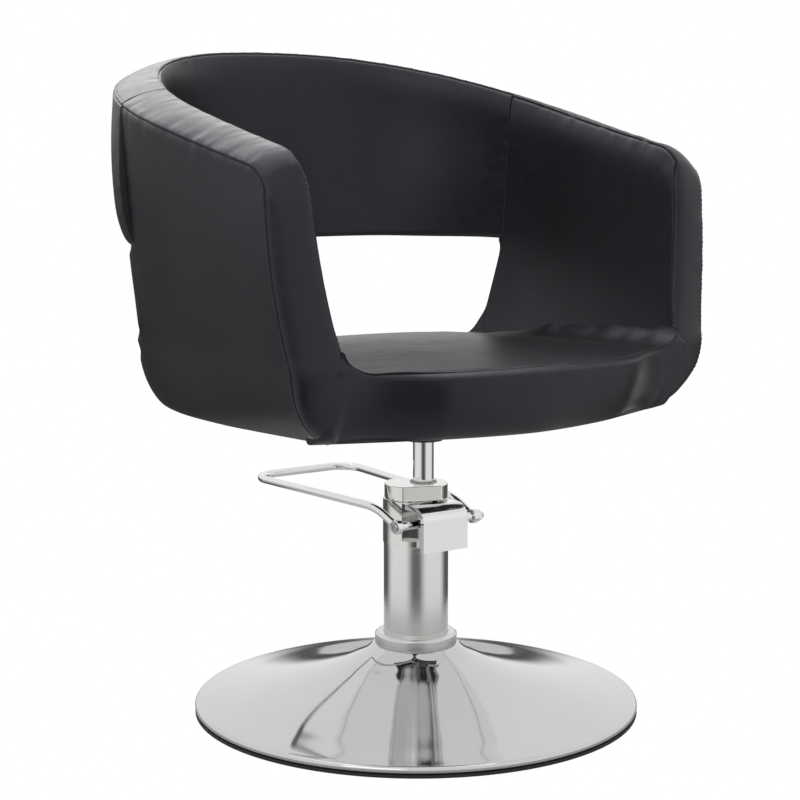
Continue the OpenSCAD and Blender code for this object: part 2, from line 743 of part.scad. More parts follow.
module seat_hub() color("gray") translate([ram_x, 0, 0]) {
    tube(hub_d / 2, ram_r + fit, hub_top_h - hub_l, hub_top_h);
    for (i = [0 : 3]) rotate(45 + 90 * i) translate([0, hub_rib_t / 2, hub_top_h])
        rotate([90, 0, 0]) linear_extrude(hub_rib_t) polygon([
            [hub_d / 2 - over, 0],
            [hub_rib_reach, 0],
            [hub_rib_reach, -hub_rib_tip],
            [hub_d / 2 - over, -hub_rib_root]]);
}

module seat_plate() color("dimgray") translate([ram_x, 0, 0]) difference() {
    translate([-plate_side / 2, -plate_side / 2, hub_top_h])
        cube([plate_side, plate_side, plate_h]);
    at_corners(plate_bolt_spacing)
        disc(plate_bolt_d / 2 + bolt_slack, hub_top_h - over, tub_bottom_h + over);
}

module plate_bolts() color("darkgray") translate([ram_x, 0, 0]) at_corners(plate_bolt_spacing) {
    hexagon(bolt_head_d, hub_top_h - bolt_head_h, hub_top_h);
    disc(plate_bolt_d / 2, hub_top_h - over, board_top_h - tee_flange_h - touch);
}

module tee_nuts() color("darkgray") translate([ram_x, 0, 0]) at_corners(plate_bolt_spacing)
    difference() {
        union() {
            disc(tee_barrel_d / 2, board_top_h - tee_barrel_l, board_top_h - tee_flange_h);
            disc(tee_flange_d / 2, board_top_h - tee_flange_h, board_top_h);
        }
        disc(plate_bolt_d / 2 + fit, board_top_h - tee_barrel_l - over, board_top_h + over);
    }

// Rear outline of the tub's low part: the place y of its face at a place x and a height
function low_half(z) = low_half_w - low_corner_w * (1 - cos(low_turn(z)));
function low_reach(z) = low_back_y - low_corner_w / 2 * (1 - cos(low_turn(z)));
function rear(x, z) = let (s = clip(abs(x) / low_half(z)))
    turn_y + (low_reach(z) - turn_y) * pow(1 - pow(s, 2 / low_power), low_power / 2);
function seam_y(x) = -seat_seam_y + seat_seam_bow * pow(x / seat_half_w, 2);
function foot_y(x) = -front_foot_y + front_foot_bow * pow(abs(x) / seat_half_w, front_foot_power);
function board_front(x) = foot_y(x) + skirt_t;
function board_rear(x) = rear(x, tub_bottom_h) - skirt_t;
function seat_h(s) = mix(seat_front_h, seat_rear_h, s);

module board_outline(inset) polygon([
    for (i = [-seat_steps : seat_steps]) let (x = i * (pad_x - touch) / seat_steps)
        [x, board_front(x) + inset],
    for (i = [seat_steps : -1 : -seat_steps]) let (x = i * (pad_x - touch) / seat_steps)
        [x, board_rear(x) - inset]]);

module seat_board() color("burlywood") difference() {
    translate([ram_x, 0, board_bottom_h]) linear_extrude(board_h) board_outline(0);
    translate([ram_x, 0, 0]) at_corners(plate_bolt_spacing) {
        disc(tee_barrel_d / 2 + touch, board_bottom_h - over, board_top_h + over);
        disc(tee_flange_d / 2 + touch, board_top_h - tee_flange_h, board_top_h + over);
    }
}

module dust_cover() color("dimgray") difference() {
    translate([ram_x, 0, tub_bottom_h]) linear_extrude(cover_cloth) board_outline(touch);
    translate([ram_x, 0, 0]) at_corners(plate_bolt_spacing)
        disc(plate_bolt_d / 2 + bolt_slack, tub_bottom_h - over, board_bottom_h + over);
}

// Side panel of an arm: a leaning board that stands beside the seat board
module panel_board(gap) {
    translate([pad_x, 0, panel_low_h]) rotate([0, panel_lean, 0])
        translate([-gap, 0, -gap]) rotate([90, 0, 90]) linear_extrude(panel_t + 2 * gap)
            polygon([
                [-panel_front_y - gap, 0],
                [panel_rear_y + gap, 0],
                [panel_rear_y + gap, panel_l - panel_corner],
                [panel_rear_y - panel_corner, panel_l + 2 * gap],
                [-panel_top_front_y - gap, panel_l + 2 * gap - panel_fall],
                [-panel_front_y - gap, panel_l / 2]]);
}
module side_panel_left() color("burlywood") translate([ram_x, 0, 0]) panel_board(0);
module side_panel_right() color("burlywood") translate([ram_x, 0, 0]) mirror([1, 0, 0])
    panel_board(0);

// Curved board inside the back, and the slot for it in the padding
function board_mid(u, z) = mix(wall_in(u, z), wall_out(u, z), back_board_share);
function board_point(u, z, side) = let (a = turn_of(u), low = window_top_h, high = board_high(u))
    mix(board_mid(u, low), board_mid(u, high), (z - low) / (high - low))
        + side * (back_board_t / 2) * [cos(a), sin(a), 0];
function slot_point(u, z, side) = board_point(u, z, side) + side * touch
    * [cos(turn_of(u)), sin(turn_of(u)), 0];
function board_low(u) = window_top_h + back_board_up;
function board_high(u) = rim_at(u) - back_board_down;
function board_h(u, i) = mix(board_low(u), board_high(u), i / board_rows);
function slot_h(u, i) = i < 0 ? window_top_h : board_h(u, i) + (i < board_rows ? 0 : touch);
module back_board() color("burlywood") translate([ram_x, 0, 0])
    skin([for (i = [back_steps : -1 : 0]) let (u = 1 + mix(cross_turn + back_gap_turn,
            180 - cross_turn - back_gap_turn, i / back_steps))
        concat([for (k = [0 : board_rows]) board_point(u, board_h(u, k), -1)],
            [for (k = [board_rows : -1 : 0]) board_point(u, board_h(u, k), 1)])]);

// Seat cushion, drawn as slices across the chair
function seat_slice(x) = let (
        f = seam_y(x), back = rear(x, seat_rear_h), low = board_top_h + touch,
        front = board_front(x), lip_h = seat_front_h - front_lip, end = board_rear(x) + touch,
        k = seat_crown * (1 - pow(x / seat_half_w, 2) / 2),
        over_board = concat(
            [[f + seat_edge, lip_h], [f, seat_front_h - seat_edge],
                [f + front_lip, seat_front_h + seat_edge / 2]],
            [for (s = seat_top_share) [mix(f, back, s), seat_h(s) + k * sin(180 * s)]],
            [[back - front_lip / 2, seat_rear_h - seat_edge]],
            [for (s = seat_back_share) let (z = mix(seat_rear_h, tub_bottom_h, s)) [rear(x, z), z]]),
        under = concat(
            [[front, lip_h], [front, (lip_h + low) / 2], [front, low]],
            [for (s = seat_under_share) [mix(front, end, s), low]],
            [for (s = seat_back_share) [end, mix(low, tub_bottom_h, s)]]))
    [for (p = concat(over_board, backwards(under))) [x, p[0], p[1]]];
module seat_pad() color("#2b2b30") translate([ram_x, 0, 0])
    skin([for (i = [-seat_steps : seat_steps]) seat_slice(i * (pad_x - touch) / seat_steps)],
        ladder = true);

function front_slice(x) = let (
        f = seam_y(x), back = board_front(x) - touch, top = seat_front_h - front_lip - touch,
        bulge = front_bulge * (1 - pow(x / seat_half_w, 2)))
    [for (p = concat([[back, tub_bottom_h], [back, top], [f + seat_edge, top]],
        [for (s = front_share) [
            mix(foot_y(x), f, pow(sin(90 * (1 - s)), front_power)) - bulge * sin(180 * s),
            mix(top, tub_bottom_h, s)]])) [x, p[0], p[1]]];
module front_pad() color("#2b2b30") translate([ram_x, 0, 0])
    skin([for (i = [seat_steps : -1 : -seat_steps])
        front_slice(i * (pad_x - touch) / seat_steps)]);

// Arm, as rings round its wall from its front face back to the end of its low tail.
// Past the meeting with the back the rings drop to the height of the window's sill.
function tail_share(u) = clip((turn_of(u) - cross_turn) / (tail_turn - cross_turn));
function tail_h(u) = mix(tail_top_h, jamb_low_h,
    pow(1 - clip((turn_of(u) - cross_turn - 3 * jamb_step) / jamb_turn), 3));
function splayed(u) = u + jamb_splay * (1 - tail_share(u));
function low_angle(u) = let (c = pow(cos(turn_of(u)), low_power))
    acos(clip(1 - (low_half_w - (pad_x + seat_edge) / c)
        / mix(low_corner_front_w, low_corner_w, clip(u))));
function least_x(p) = [max(p[0], pad_x + touch), p[1], p[2]];
function outer_at(u, z) = z > knee_h ? wall_out(u, z) : low_at(u, low_turn(z));
// One ring has its inner points at station u and its outer points at station w
function arm_ring(u, w, top) = let (
        whole = top > window_top_h, out_top = whole ? top - strip_drop : top,
        end = low_angle(w), foot = low_at(w, end), seat = tail_top_h - seat_edge,
        z = min(window_top_h, out_top), knee = min(knee_h, out_top),
        in_top = least_x(wall_in(u, top)), far = outer_at(w, out_top))
    concat(
        [[pad_x, along(u, foot[2], low_reach(foot[2]), 1), foot[2]],
            [pad_x, along(u, mix(foot[2], seat, 0.5), low_back_y, 1), mix(foot[2], seat, 0.5)]],
        [for (s = arm_in_share) least_x(wall_in(u, mix(seat, min(window_top_h, top), s)))],
        [for (s = arm_high_share) whole ? wall_in(u, mix(window_top_h, top, s))
            : mix(in_top, far, s * ledge_share)],
        [for (s = arm_strip_share) whole ? strip_at(u, s)
            : mix(in_top, far, mix(ledge_share, 1 - ledge_share, s))],
        [for (s = arm_out_share) whole ? outer_at(w, mix(z, out_top, s))
            : mix(far, in_top, s * ledge_share)],
        [outer_at(w, z), outer_at(w, min(z, window_top_h - jamb_lip))],
        [for (s = arm_low_share) low_at(w, mix(low_turn(knee), end, s))]);
// A ring drawn in across its wall, for the rounded front
function drawn_in(r, s, up) = let (m = ring_mid(r), n = len(r)) [for (k = [0 : n - 1])
    let (p = mix(r[k], r[n - 1 - k], s)) [p[0], r[k][1], mix(r[k][2], m[2], up)]];
jamb_u = 1 + cross_turn + jamb_step;
module arm_solid() skin(backwards(concat(
    [drawn_in(arm_ring(0, 0, rim_at(0)), arm_front_in_share, arm_front_up_share)],
    [for (u = arm_station_share) arm_ring(u, u, rim_at(u))],
    [for (i = [0 : arm_bend_steps]) let (u = 1 + cross_turn * i / arm_bend_steps)
        arm_ring(u, u, rim_at(u))],
    [arm_ring(jamb_u, jamb_u, window_top_h - touch),
        arm_ring(jamb_u + jamb_step, jamb_u + jamb_splay, window_top_h - jamb_lip)],
    [for (i = [0 : arm_tail_steps]) let (u = mix(jamb_u + 2 * jamb_step, 1 + tail_turn,
            i / arm_tail_steps))
        arm_ring(u, splayed(u), tail_h(u))])), ladder = true);
module arm_pad() difference() {
    arm_solid();
    panel_board(touch);
}
module arm_pad_left() color("#2b2b30") translate([ram_x, 0, 0]) arm_pad();
module arm_pad_right() color("#2b2b30") translate([ram_x, 0, 0]) mirror([1, 0, 0]) arm_pad();

// The back is padded round its board. Its ring runs up the inner face, over the strip
// and down the outer face, then up and down the two sides of the board's slot.
function back_ring(u) = let (top = rim_at(u), out_top = top - strip_drop, low = window_top_h)
    concat(
        [mix(wall_in(u, low), wall_out(u, low), back_edge / strip_back_w)],
        [for (s = back_in_share) wall_in(u, mix(low + back_edge, top, s))],
        [for (s = arm_strip_share) strip_at(u, s)],
        [for (s = back_out_share) wall_out(u, mix(low + back_edge, out_top, s))],
        [mix(wall_out(u, low), wall_in(u, low), back_edge / strip_back_w)],
        [for (k = [-1 : board_rows]) slot_point(u, slot_h(u, k), 1)],
        [for (k = [board_rows : -1 : -1]) slot_point(u, slot_h(u, k), -1)]);
module back_pad() color("#2b2b30") translate([ram_x, 0, 0])
    skin([for (i = [back_steps : -1 : 0])
        back_ring(1 + mix(cross_turn + back_gap_turn, 180 - cross_turn - back_gap_turn,
            i / back_steps))], ladder = true);

floor_pad();
base_weight();
base_dish();
base_collar();
pump_flange();
flange_bolts();
flange_nuts();
pump_column();
pump_foot();
ram_cylinder();
pump_head();
head_seal();
pump_cap();
ram_bush();
ram_wiper();
plunger_barrel();
stop_pin();
cover_box();
cover_screws();
piston();
piston_seal();
foot_lever();
lever_shaft();
rocker();
rocker_screw();
lever_screw();
lever_nut();
pump_plunger();
plunger_spring();
ram_rod();
seat_hub();
seat_plate();
plate_bolts();
tee_nuts();
seat_board();
side_panel_left();
side_panel_right();
back_board();
dust_cover();
seat_pad();
front_pad();
arm_pad_left();
arm_pad_right();
back_pad();
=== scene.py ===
import bisect
import json
import math

import bmesh
import bpy
from bpy.props import FloatProperty, FloatVectorProperty, PointerProperty
from mathutils import Matrix, Vector, noise
from mathutils.bvhtree import BVHTree
from mathutils.kdtree import KDTree


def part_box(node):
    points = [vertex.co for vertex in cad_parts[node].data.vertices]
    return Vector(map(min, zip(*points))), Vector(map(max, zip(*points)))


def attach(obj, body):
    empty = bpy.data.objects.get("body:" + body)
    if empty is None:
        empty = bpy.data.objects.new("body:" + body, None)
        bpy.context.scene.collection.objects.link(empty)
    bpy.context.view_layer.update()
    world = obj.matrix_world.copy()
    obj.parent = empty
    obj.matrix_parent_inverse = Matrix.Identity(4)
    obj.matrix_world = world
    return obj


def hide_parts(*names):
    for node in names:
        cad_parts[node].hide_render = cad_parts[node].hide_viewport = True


bl_info = {
    "name": "Salon Styling Chair",
    "version": (1, 0, 0),
    "blender": (4, 5, 0),
    "location": "3D View > Sidebar > Styling Chair",
    "description": "Dresses the packed styling chair: upholstery, seams, plated metal and stage",
    "category": "Add Mesh",
}

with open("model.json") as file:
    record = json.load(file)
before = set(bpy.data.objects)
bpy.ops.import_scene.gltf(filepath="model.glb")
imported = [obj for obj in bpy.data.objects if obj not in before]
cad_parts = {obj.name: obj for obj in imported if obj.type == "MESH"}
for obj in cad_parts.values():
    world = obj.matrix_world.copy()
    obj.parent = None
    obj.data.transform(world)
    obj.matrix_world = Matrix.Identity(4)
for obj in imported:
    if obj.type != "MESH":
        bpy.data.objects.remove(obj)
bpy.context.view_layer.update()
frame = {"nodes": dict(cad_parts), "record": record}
NODES = frame["nodes"]
SLOTS = {row["node"]: row["material_slot"] for row in frame["record"]["subparts"]}


# ---------------------------------------------------------------- sizes and colours

def length(name, text, value):
    return FloatProperty(name=name, description=text, default=value, min=0.0, precision=4,
                         unit="LENGTH")


def signed_length(name, text, value):
    return FloatProperty(name=name, description=text, default=value, precision=4, unit="LENGTH")


def degrees(name, text, value):
    return FloatProperty(name=name, description=text, default=math.radians(value), unit="ROTATION")


def share(name, text, value):
    return FloatProperty(name=name, description=text, default=value, min=0.0, max=1.0,
                         subtype="FACTOR")


def number(name, text, value):
    return FloatProperty(name=name, description=text, default=value, min=0.0)


def colour(name, text, value):
    return FloatVectorProperty(name=name, description=text, default=value, size=3, min=0.0,
                               max=1.0, subtype="COLOR")


class TubSizes(bpy.types.PropertyGroup):
    """Sizes of the padded tub, as its construction has them."""
    ram_x: signed_length("Ram offset", "How far the ram stands beside the base's centre", 0.012)
    bottom_h: length("Underside height", "Height of the tub's underside", 0.405)
    seat_front_h: length("Seat front height", "Height of the seat at its front seam", 0.494)
    seat_rear_h: length("Seat rear height", "Height of the seat at its rear edge", 0.470)
    rim_front_h: length("Rim front height", "Height of the inner seam at the arms' front", 0.750)
    rim_back_h: length("Rim back height", "Height of the inner seam at the back", 0.890)
    window_top_h: length("Window top", "Height of the backrest's lower edge", 0.618)
    rim_half_w: length("Rim half width", "Half width between the inner seams", 0.296)
    seat_half_w: length("Seat half width", "Half width of the seat between the arms", 0.254)
    strip_front_w: length("Strip width in front", "Width of the top strip at the front", 0.046)
    strip_cross_w: length("Strip width at the corner", "Width of the strip at the corner", 0.061)
    strip_back_w: length("Strip width behind", "Width of the top strip at the back", 0.058)
    strip_drop: length("Strip drop", "How much lower the outer seam lies", 0.020)
    strip_crown: length("Strip crown", "Rise of the strip's middle", 0.005)
    low_half_w: length("Half width below", "Half width at the tub's widest line", 0.325)
    turn_y: length("Start of the turn", "Where the arms start to turn into the back", 0.060)
    rim_front_y: length("Front of the rim", "Reach of the arms at the rim", 0.168)
    rim_back_y: length("Back of the rim", "Reach of the inner seam at the back", 0.394)
    knee_h: length("Height of the widest line", "Height of the tub's widest line", 0.500)
    knee_front_y: length("Front at the widest line", "Reach of the arms at that line", 0.198)
    foot_front_y: length("Front at the underside", "Reach of the arms below", 0.168)
    low_back_y: length("Rear at the widest line", "Reach of the tub's rear", 0.345)
    window_in_y: length("Back's inner face", "Inner face of the back at its lower edge", 0.362)
    window_out_y: length("Back's outer face", "Outer face of the back at its lower edge", 0.424)
    corner_r: length("Front corner radius", "Radius of the arms' top front corner", 0.042)
    low_corner_w: length("Lower corner width", "Width of the tub's rounded lower edge", 0.048)
    low_corner_front_w: length("Lower front corner", "Width of that rounding at the arms' front",
                               0.088)
    side_bulge: length("Side bulge", "Swell of the arms' outer faces", 0.006)
    back_bulge: length("Back bulge", "Swell of the back's outer face", 0.015)
    inner_roll: length("Inner roll", "Swell of the padding below the inner seam", 0.006)
    inner_roll_h: length("Inner roll height", "How far below the seam it is fullest", 0.026)
    tail_h: length("Tail height", "Height of the arms' tails at their ends", 0.468)
    jamb_low_h: length("Foot of the jamb", "Height where the window's side turns", 0.514)
    seam_y: length("Seat seam reach", "Reach of the seat's front seam at its middle", 0.262)
    seam_bow: length("Seat seam bow", "Bow of the seat's front seam", 0.050)
    foot_y: length("Front foot reach", "Reach of the front's lower edge at its middle", 0.238)
    foot_bow: length("Front foot bow", "Bow of the front's lower edge", 0.070)
    front_bulge: length("Front bulge", "Swell of the front panel", 0.008)
    seat_crown: length("Seat crown", "Rise of the seat's middle", 0.006)
    board_top_h: length("Board top", "Top of the board under the seat", 0.4245)
    cross_turn: degrees("Corner turn", "Turn at which arms and back meet", 17.0)
    tail_turn: degrees("Tail turn", "Turn at which the arms' tails end", 43.0)
    jamb_splay: degrees("Jamb splay", "Turn by which the window's sides open outwards", 5.0)
    bulge_turn: degrees("Bulge turn", "Turn over which the swell grows behind the corner", 12.0)


class SeamSizes(bpy.types.PropertyGroup):
    """Seams, stitches and gathers of the upholstery."""
    groove_w: length("Seam width", "Half width of a seam's groove", 0.0018)
    groove_depth: length("Seam depth", "Depth of a seam's groove", 0.0032)
    stitch_l: length("Stitch length", "Length of one stitch", 0.0036)
    stitch_pitch: length("Stitch pitch", "Distance from stitch to stitch", 0.0062)
    thread_r: length("Thread radius", "Radius of the thread", 0.00042)
    row_inset: length("Row inset", "Distance of a stitch row from its seam", 0.0055)
    pucker: length("Pucker height", "Height of the small gathers along the seams", 0.0016)
    pucker_l: length("Pucker length", "Distance from gather to gather", 0.017)
    pucker_reach: length("Pucker reach", "How far the gathers run from a seam", 0.022)
    ripple: length("Ripple height", "Height of the slow waves in the cover", 0.0012)
    ripple_l: length("Ripple length", "Length of the slow waves in the cover", 0.12)
    front_edge_r: length("Front edge radius", "Radius of the arms' front edges", 0.009)
    front_crown: length("Front crown", "Swell of the arms' front faces", 0.004)
    seat_rise: length("Seat rise", "Height by which the cover rises to the arms", 0.042)
    front_over: length("Front overlap", "How far the front panel runs on over the arms", 0.016)
    front_rise: length("Front rise", "Height of that rise at the front corners", 0.036)
    rise_w: length("Rise width", "Width over which the seat's cover rises", 0.044)
    seat_gather: length("Seat gather", "Height of the gathers along the seat's sides", 0.0024)


class MetalSizes(bpy.types.PropertyGroup):
    """Sizes of the base, the pump and the lever."""
    base_r: length("Base radius", "Radius of the round base", 0.300)
    lip_r: length("Lip radius", "Radius of the base's rolled rim", 0.005)
    pad_h: length("Floor pad", "Thickness of the rubber pad below", 0.004)
    base_top_h: length("Dish height", "Height of the dish at the collar", 0.088)
    sheet: length("Dish sheet", "Thickness of the dish's sheet", 0.0025)
    collar_r: length("Collar radius", "Radius of the collar", 0.0555)
    collar_h: length("Collar height", "Height of the collar", 0.016)
    collar_bevel: length("Collar bevel", "Bevel of the collar's top edge", 0.003)
    column_r: length("Column radius", "Radius of the column", 0.0435)
    column_wall: length("Column wall", "Wall of the column", 0.003)
    bar_r: length("Lever bar radius", "Radius of the lever's bar", 0.0055)
    eye_r: length("Lever eye radius", "Outer radius of the lever's eyes", 0.0095)
    eye_bore_r: length("Lever eye bore", "Radius of the bore in an eye", 0.0042)
    eye_t: length("Lever eye thickness", "Thickness of an eye", 0.008)
    eye_x: length("Lever eye place", "Half distance between the eyes", 0.062)
    shaft_y: length("Shaft place", "Distance of the lever's shaft in front", 0.045)
    shaft_h: length("Shaft height", "Height of the lever's shaft", 0.262)
    knee_y: length("Lever knee place", "Where the lever bends level", 0.002)
    knee_x: length("Lever knee width", "Half width of the lever at that bend", 0.064)
    level_h: length("Lever level height", "Height of the lever's level part", 0.281)
    back_y: length("Lever reach", "Reach of the lever's crossbar", 0.292)
    corner_r: length("Lever corner radius", "Radius of the lever's corners", 0.034)
    splay: degrees("Lever splay", "Angle by which the lever widens", 4.0)
    edge: length("Metal edge", "Rounding of machined edges", 0.0007)


class Finishes(bpy.types.PropertyGroup):
    """Colours and roughness of the finishes."""
    leather: colour("Leatherette", "Colour of the upholstery", (0.0035, 0.0036, 0.0046))
    leather_rough: share("Leatherette roughness", "Roughness of the upholstery", 0.42)
    grain: length("Grain size", "Size of the leatherette's grain", 0.0013)
    thread: colour("Thread", "Colour of the stitching", (0.003, 0.003, 0.004))
    chrome: colour("Chrome", "Colour of bright chrome plate", (0.74, 0.75, 0.75))
    # painted shade: the dish's chrome is darker than the bright chrome, which dims what the dish
    # reflects
    dish: colour("Dish chrome", "Colour of the base's chrome plate", (0.56, 0.56, 0.57))
    chrome_rough: share("Chrome roughness", "Roughness of bright chrome plate", 0.06)
    satin: colour("Satin aluminium", "Colour of the column", (0.70, 0.70, 0.69))
    satin_rough: share("Satin roughness", "Roughness of the column", 0.2)
    nickel: colour("Satin nickel", "Colour of the collar", (0.62, 0.62, 0.61))
    cast: colour("Plated casting", "Colour of the pump's head", (0.70, 0.69, 0.67))
    steel: colour("Zinc steel", "Colour of zinc plated steel", (0.48, 0.48, 0.47))
    black: colour("Black coat", "Colour of the black coated plate", (0.018, 0.018, 0.019))
    wiper: colour("Wiper", "Colour of the plastic wiper ring", (0.72, 0.72, 0.69))
    rubber: colour("Rubber", "Colour of rubber", (0.016, 0.016, 0.016))
    iron: colour("Cast iron", "Colour of the iron weight", (0.05, 0.05, 0.052))
    bronze: colour("Bronze", "Colour of the bush", (0.42, 0.25, 0.1))
    wood: colour("Plywood", "Colour of the boards", (0.48, 0.32, 0.17))
    # painted reflection: the dust cloth is pale so that it shows pale in the shiny base under it
    cloth: colour("Dust cloth", "Colour of the cloth below", (0.7, 0.7, 0.71))


class StageSizes(bpy.types.PropertyGroup):
    """Camera, floor and lamps."""
    camera_x: signed_length("Camera X", "Place of the camera", -1.4406)
    camera_y: signed_length("Camera Y", "Place of the camera", -2.0198)
    camera_z: signed_length("Camera Z", "Height of the camera", 0.7768)
    pitch: degrees("Pitch", "How far the camera looks down", 8.19)
    heading: degrees("Heading", "Direction in which the camera looks", -35.0)
    lens: number("Lens", "Focal length in millimetres on a 36 mm sensor", 84.44)
    floor_r: length("Floor radius", "Radius of the floor", 0.6)
    key_power: number("Key power", "Power of the large lamp in front, in watts", 10.0)
    top_power: number("Top power", "Power of the lamp above, in watts", 28.0)
    rim_power: number("Rim power", "Power of the lamp behind, on the cover alone", 34.0)
    room: share("Room light", "Level of the light from all round", 0.6)
    room_dark: share("Dark of the room", "Level of its dark parts in reflections", 0.1)
    room_lit: number("Bright of the room", "Level of its bright sides in reflections", 0.95)
    ceiling: number("Ceiling", "Level of the ceiling in reflections", 1.05)


PROPERTY_GROUPS = {"chair_tub": TubSizes, "chair_seams": SeamSizes, "chair_metal": MetalSizes,
                   "chair_finish": Finishes, "chair_stage": StageSizes}


# ---------------------------------------------------------------- small helpers

WELD = 2e-6  # points of a piece that lie closer than this become one


def mix(a, b, s):
    return a + (b - a) * s


def clip(s):
    return max(0.0, min(1.0, s))


def eased(s):
    s = clip(s)
    return s * s * (3 - 2 * s)


def even(count):
    """Shares from 0 to just short of 1."""
    return [k / count for k in range(count)]


def full(count):
    """Shares from 0 to 1."""
    return [k / count for k in range(count + 1)]


def rounded(t):
    """Fall of a quarter of a circle, from 0 at its start to 1 at its end."""
    return 1 - math.sqrt(1 - t * t)


def flipped(points, side, shift=0.0):
    """Points kept on their side of the chair, or with -1 put on the other one."""
    return [Vector((side * p.x + shift, p.y, p.z)) for p in points]


def gathered(count):
    """Shares from 0 to just short of 1, close together at both ends."""
    return [(1 - math.cos(math.pi * k / count)) / 2 for k in range(count)]


def link(obj):
    bpy.context.scene.collection.objects.link(obj)
    return obj


def finish_piece(name, bm, slot, body, nodes=(), finish=None, subdivide=0, smooth_angle=None):
    """A bmesh becomes a finished piece that rides on its body. The angle is in degrees."""
    mesh = bpy.data.meshes.new(name)
    for face in bm.faces:
        face.smooth = True
    if smooth_angle is not None:
        for edge in bm.edges:
            edge.smooth = (edge.is_manifold
                           and edge.calc_face_angle(0.0) < math.radians(smooth_angle))
    bm.to_mesh(mesh)
    bm.free()
    mesh.materials.append(material(finish or slot))
    piece = link(bpy.data.objects.new(name, mesh))
    if subdivide:
        mod = piece.modifiers.new("Subdivision", "SUBSURF")
        mod.levels = mod.render_levels = subdivide
    if nodes:
        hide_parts(*nodes)
    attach(piece, body)
    return piece


def grid(bm, rows, columns, place, mark=None):
    """A grid of faces whose corner in row i and column j lies at place(i, j)."""
    layer = bm.verts.layers.int.get("seam") or bm.verts.layers.int.new("seam")
    made = bmesh.ops.create_grid(bm, x_segments=columns, y_segments=rows, size=1.0)["verts"]
    for v in made:
        j = round((v.co.x + 1) / 2 * columns)
        i = round((v.co.y + 1) / 2 * rows)
        v.co = place(i, j)
        v[layer] = mark(i, j) if mark else 0
    return made


def loft(rings, mark=None):
    """Closed rings of points, joined one to the next."""
    bm = bmesh.new()
    columns = len(rings[0])
    grid(bm, len(rings) - 1, columns, lambda i, j: rings[i][j % columns].copy(), mark)
    return bm


def close_up(bm, distance=1e-6):
    bmesh.ops.remove_doubles(bm, verts=bm.verts, dist=distance)
    bmesh.ops.recalc_face_normals(bm, faces=bm.faces)


def seal(bm, distance=WELD):
    """Welds what lies together and closes the open ends."""
    close_up(bm, distance)
    bmesh.ops.holes_fill(bm, edges=[e for e in bm.edges if e.is_boundary], sides=0)
    bmesh.ops.recalc_face_normals(bm, faces=bm.faces)


def spun(profile, steps, centre=(0, 0, 0), axis=(0, 0, 1), start=(1, 0, 0)):
    """A closed outline of (radius, height) points, spun round an axis."""
    bm = bmesh.new()
    centre, axis, start = Vector(centre), Vector(axis), Vector(start)
    verts = [bm.verts.new(centre + start * r + axis * h) for r, h in profile]
    edges = [bm.edges.new((verts[k - 1], v)) for k, v in enumerate(verts)]
    bmesh.ops.spin(bm, geom=verts + edges, cent=centre, axis=axis, angle=math.tau, steps=steps,
                   use_merge=True)
    close_up(bm)
    return bm


CORNER_STEPS = 4  # facets of a rounded corner
CORNER_REACH = 2.2  # a corner takes at most a side's length over this


def round_corners(outline, radius):
    """An outline of (radius, height) points with each corner rounded."""
    result = []
    count = len(outline)
    for k in range(count):
        a, b, c = (Vector(outline[(k + d) % count]) for d in (-1, 0, 1))
        cut = min(radius, (a - b).length / CORNER_REACH, (c - b).length / CORNER_REACH)
        p, q = b + (a - b).normalized() * cut, b + (c - b).normalized() * cut
        for s in range(CORNER_STEPS + 1):
            t = s / CORNER_STEPS
            result.append(tuple(mix(mix(p, b, t), mix(b, q, t), t)))
    return result


def box_outline(inner_r, outer_r, low, high):
    return [(inner_r, low), (outer_r, low), (outer_r, high), (inner_r, high)]


# ---------------------------------------------------------------- shape of the tub

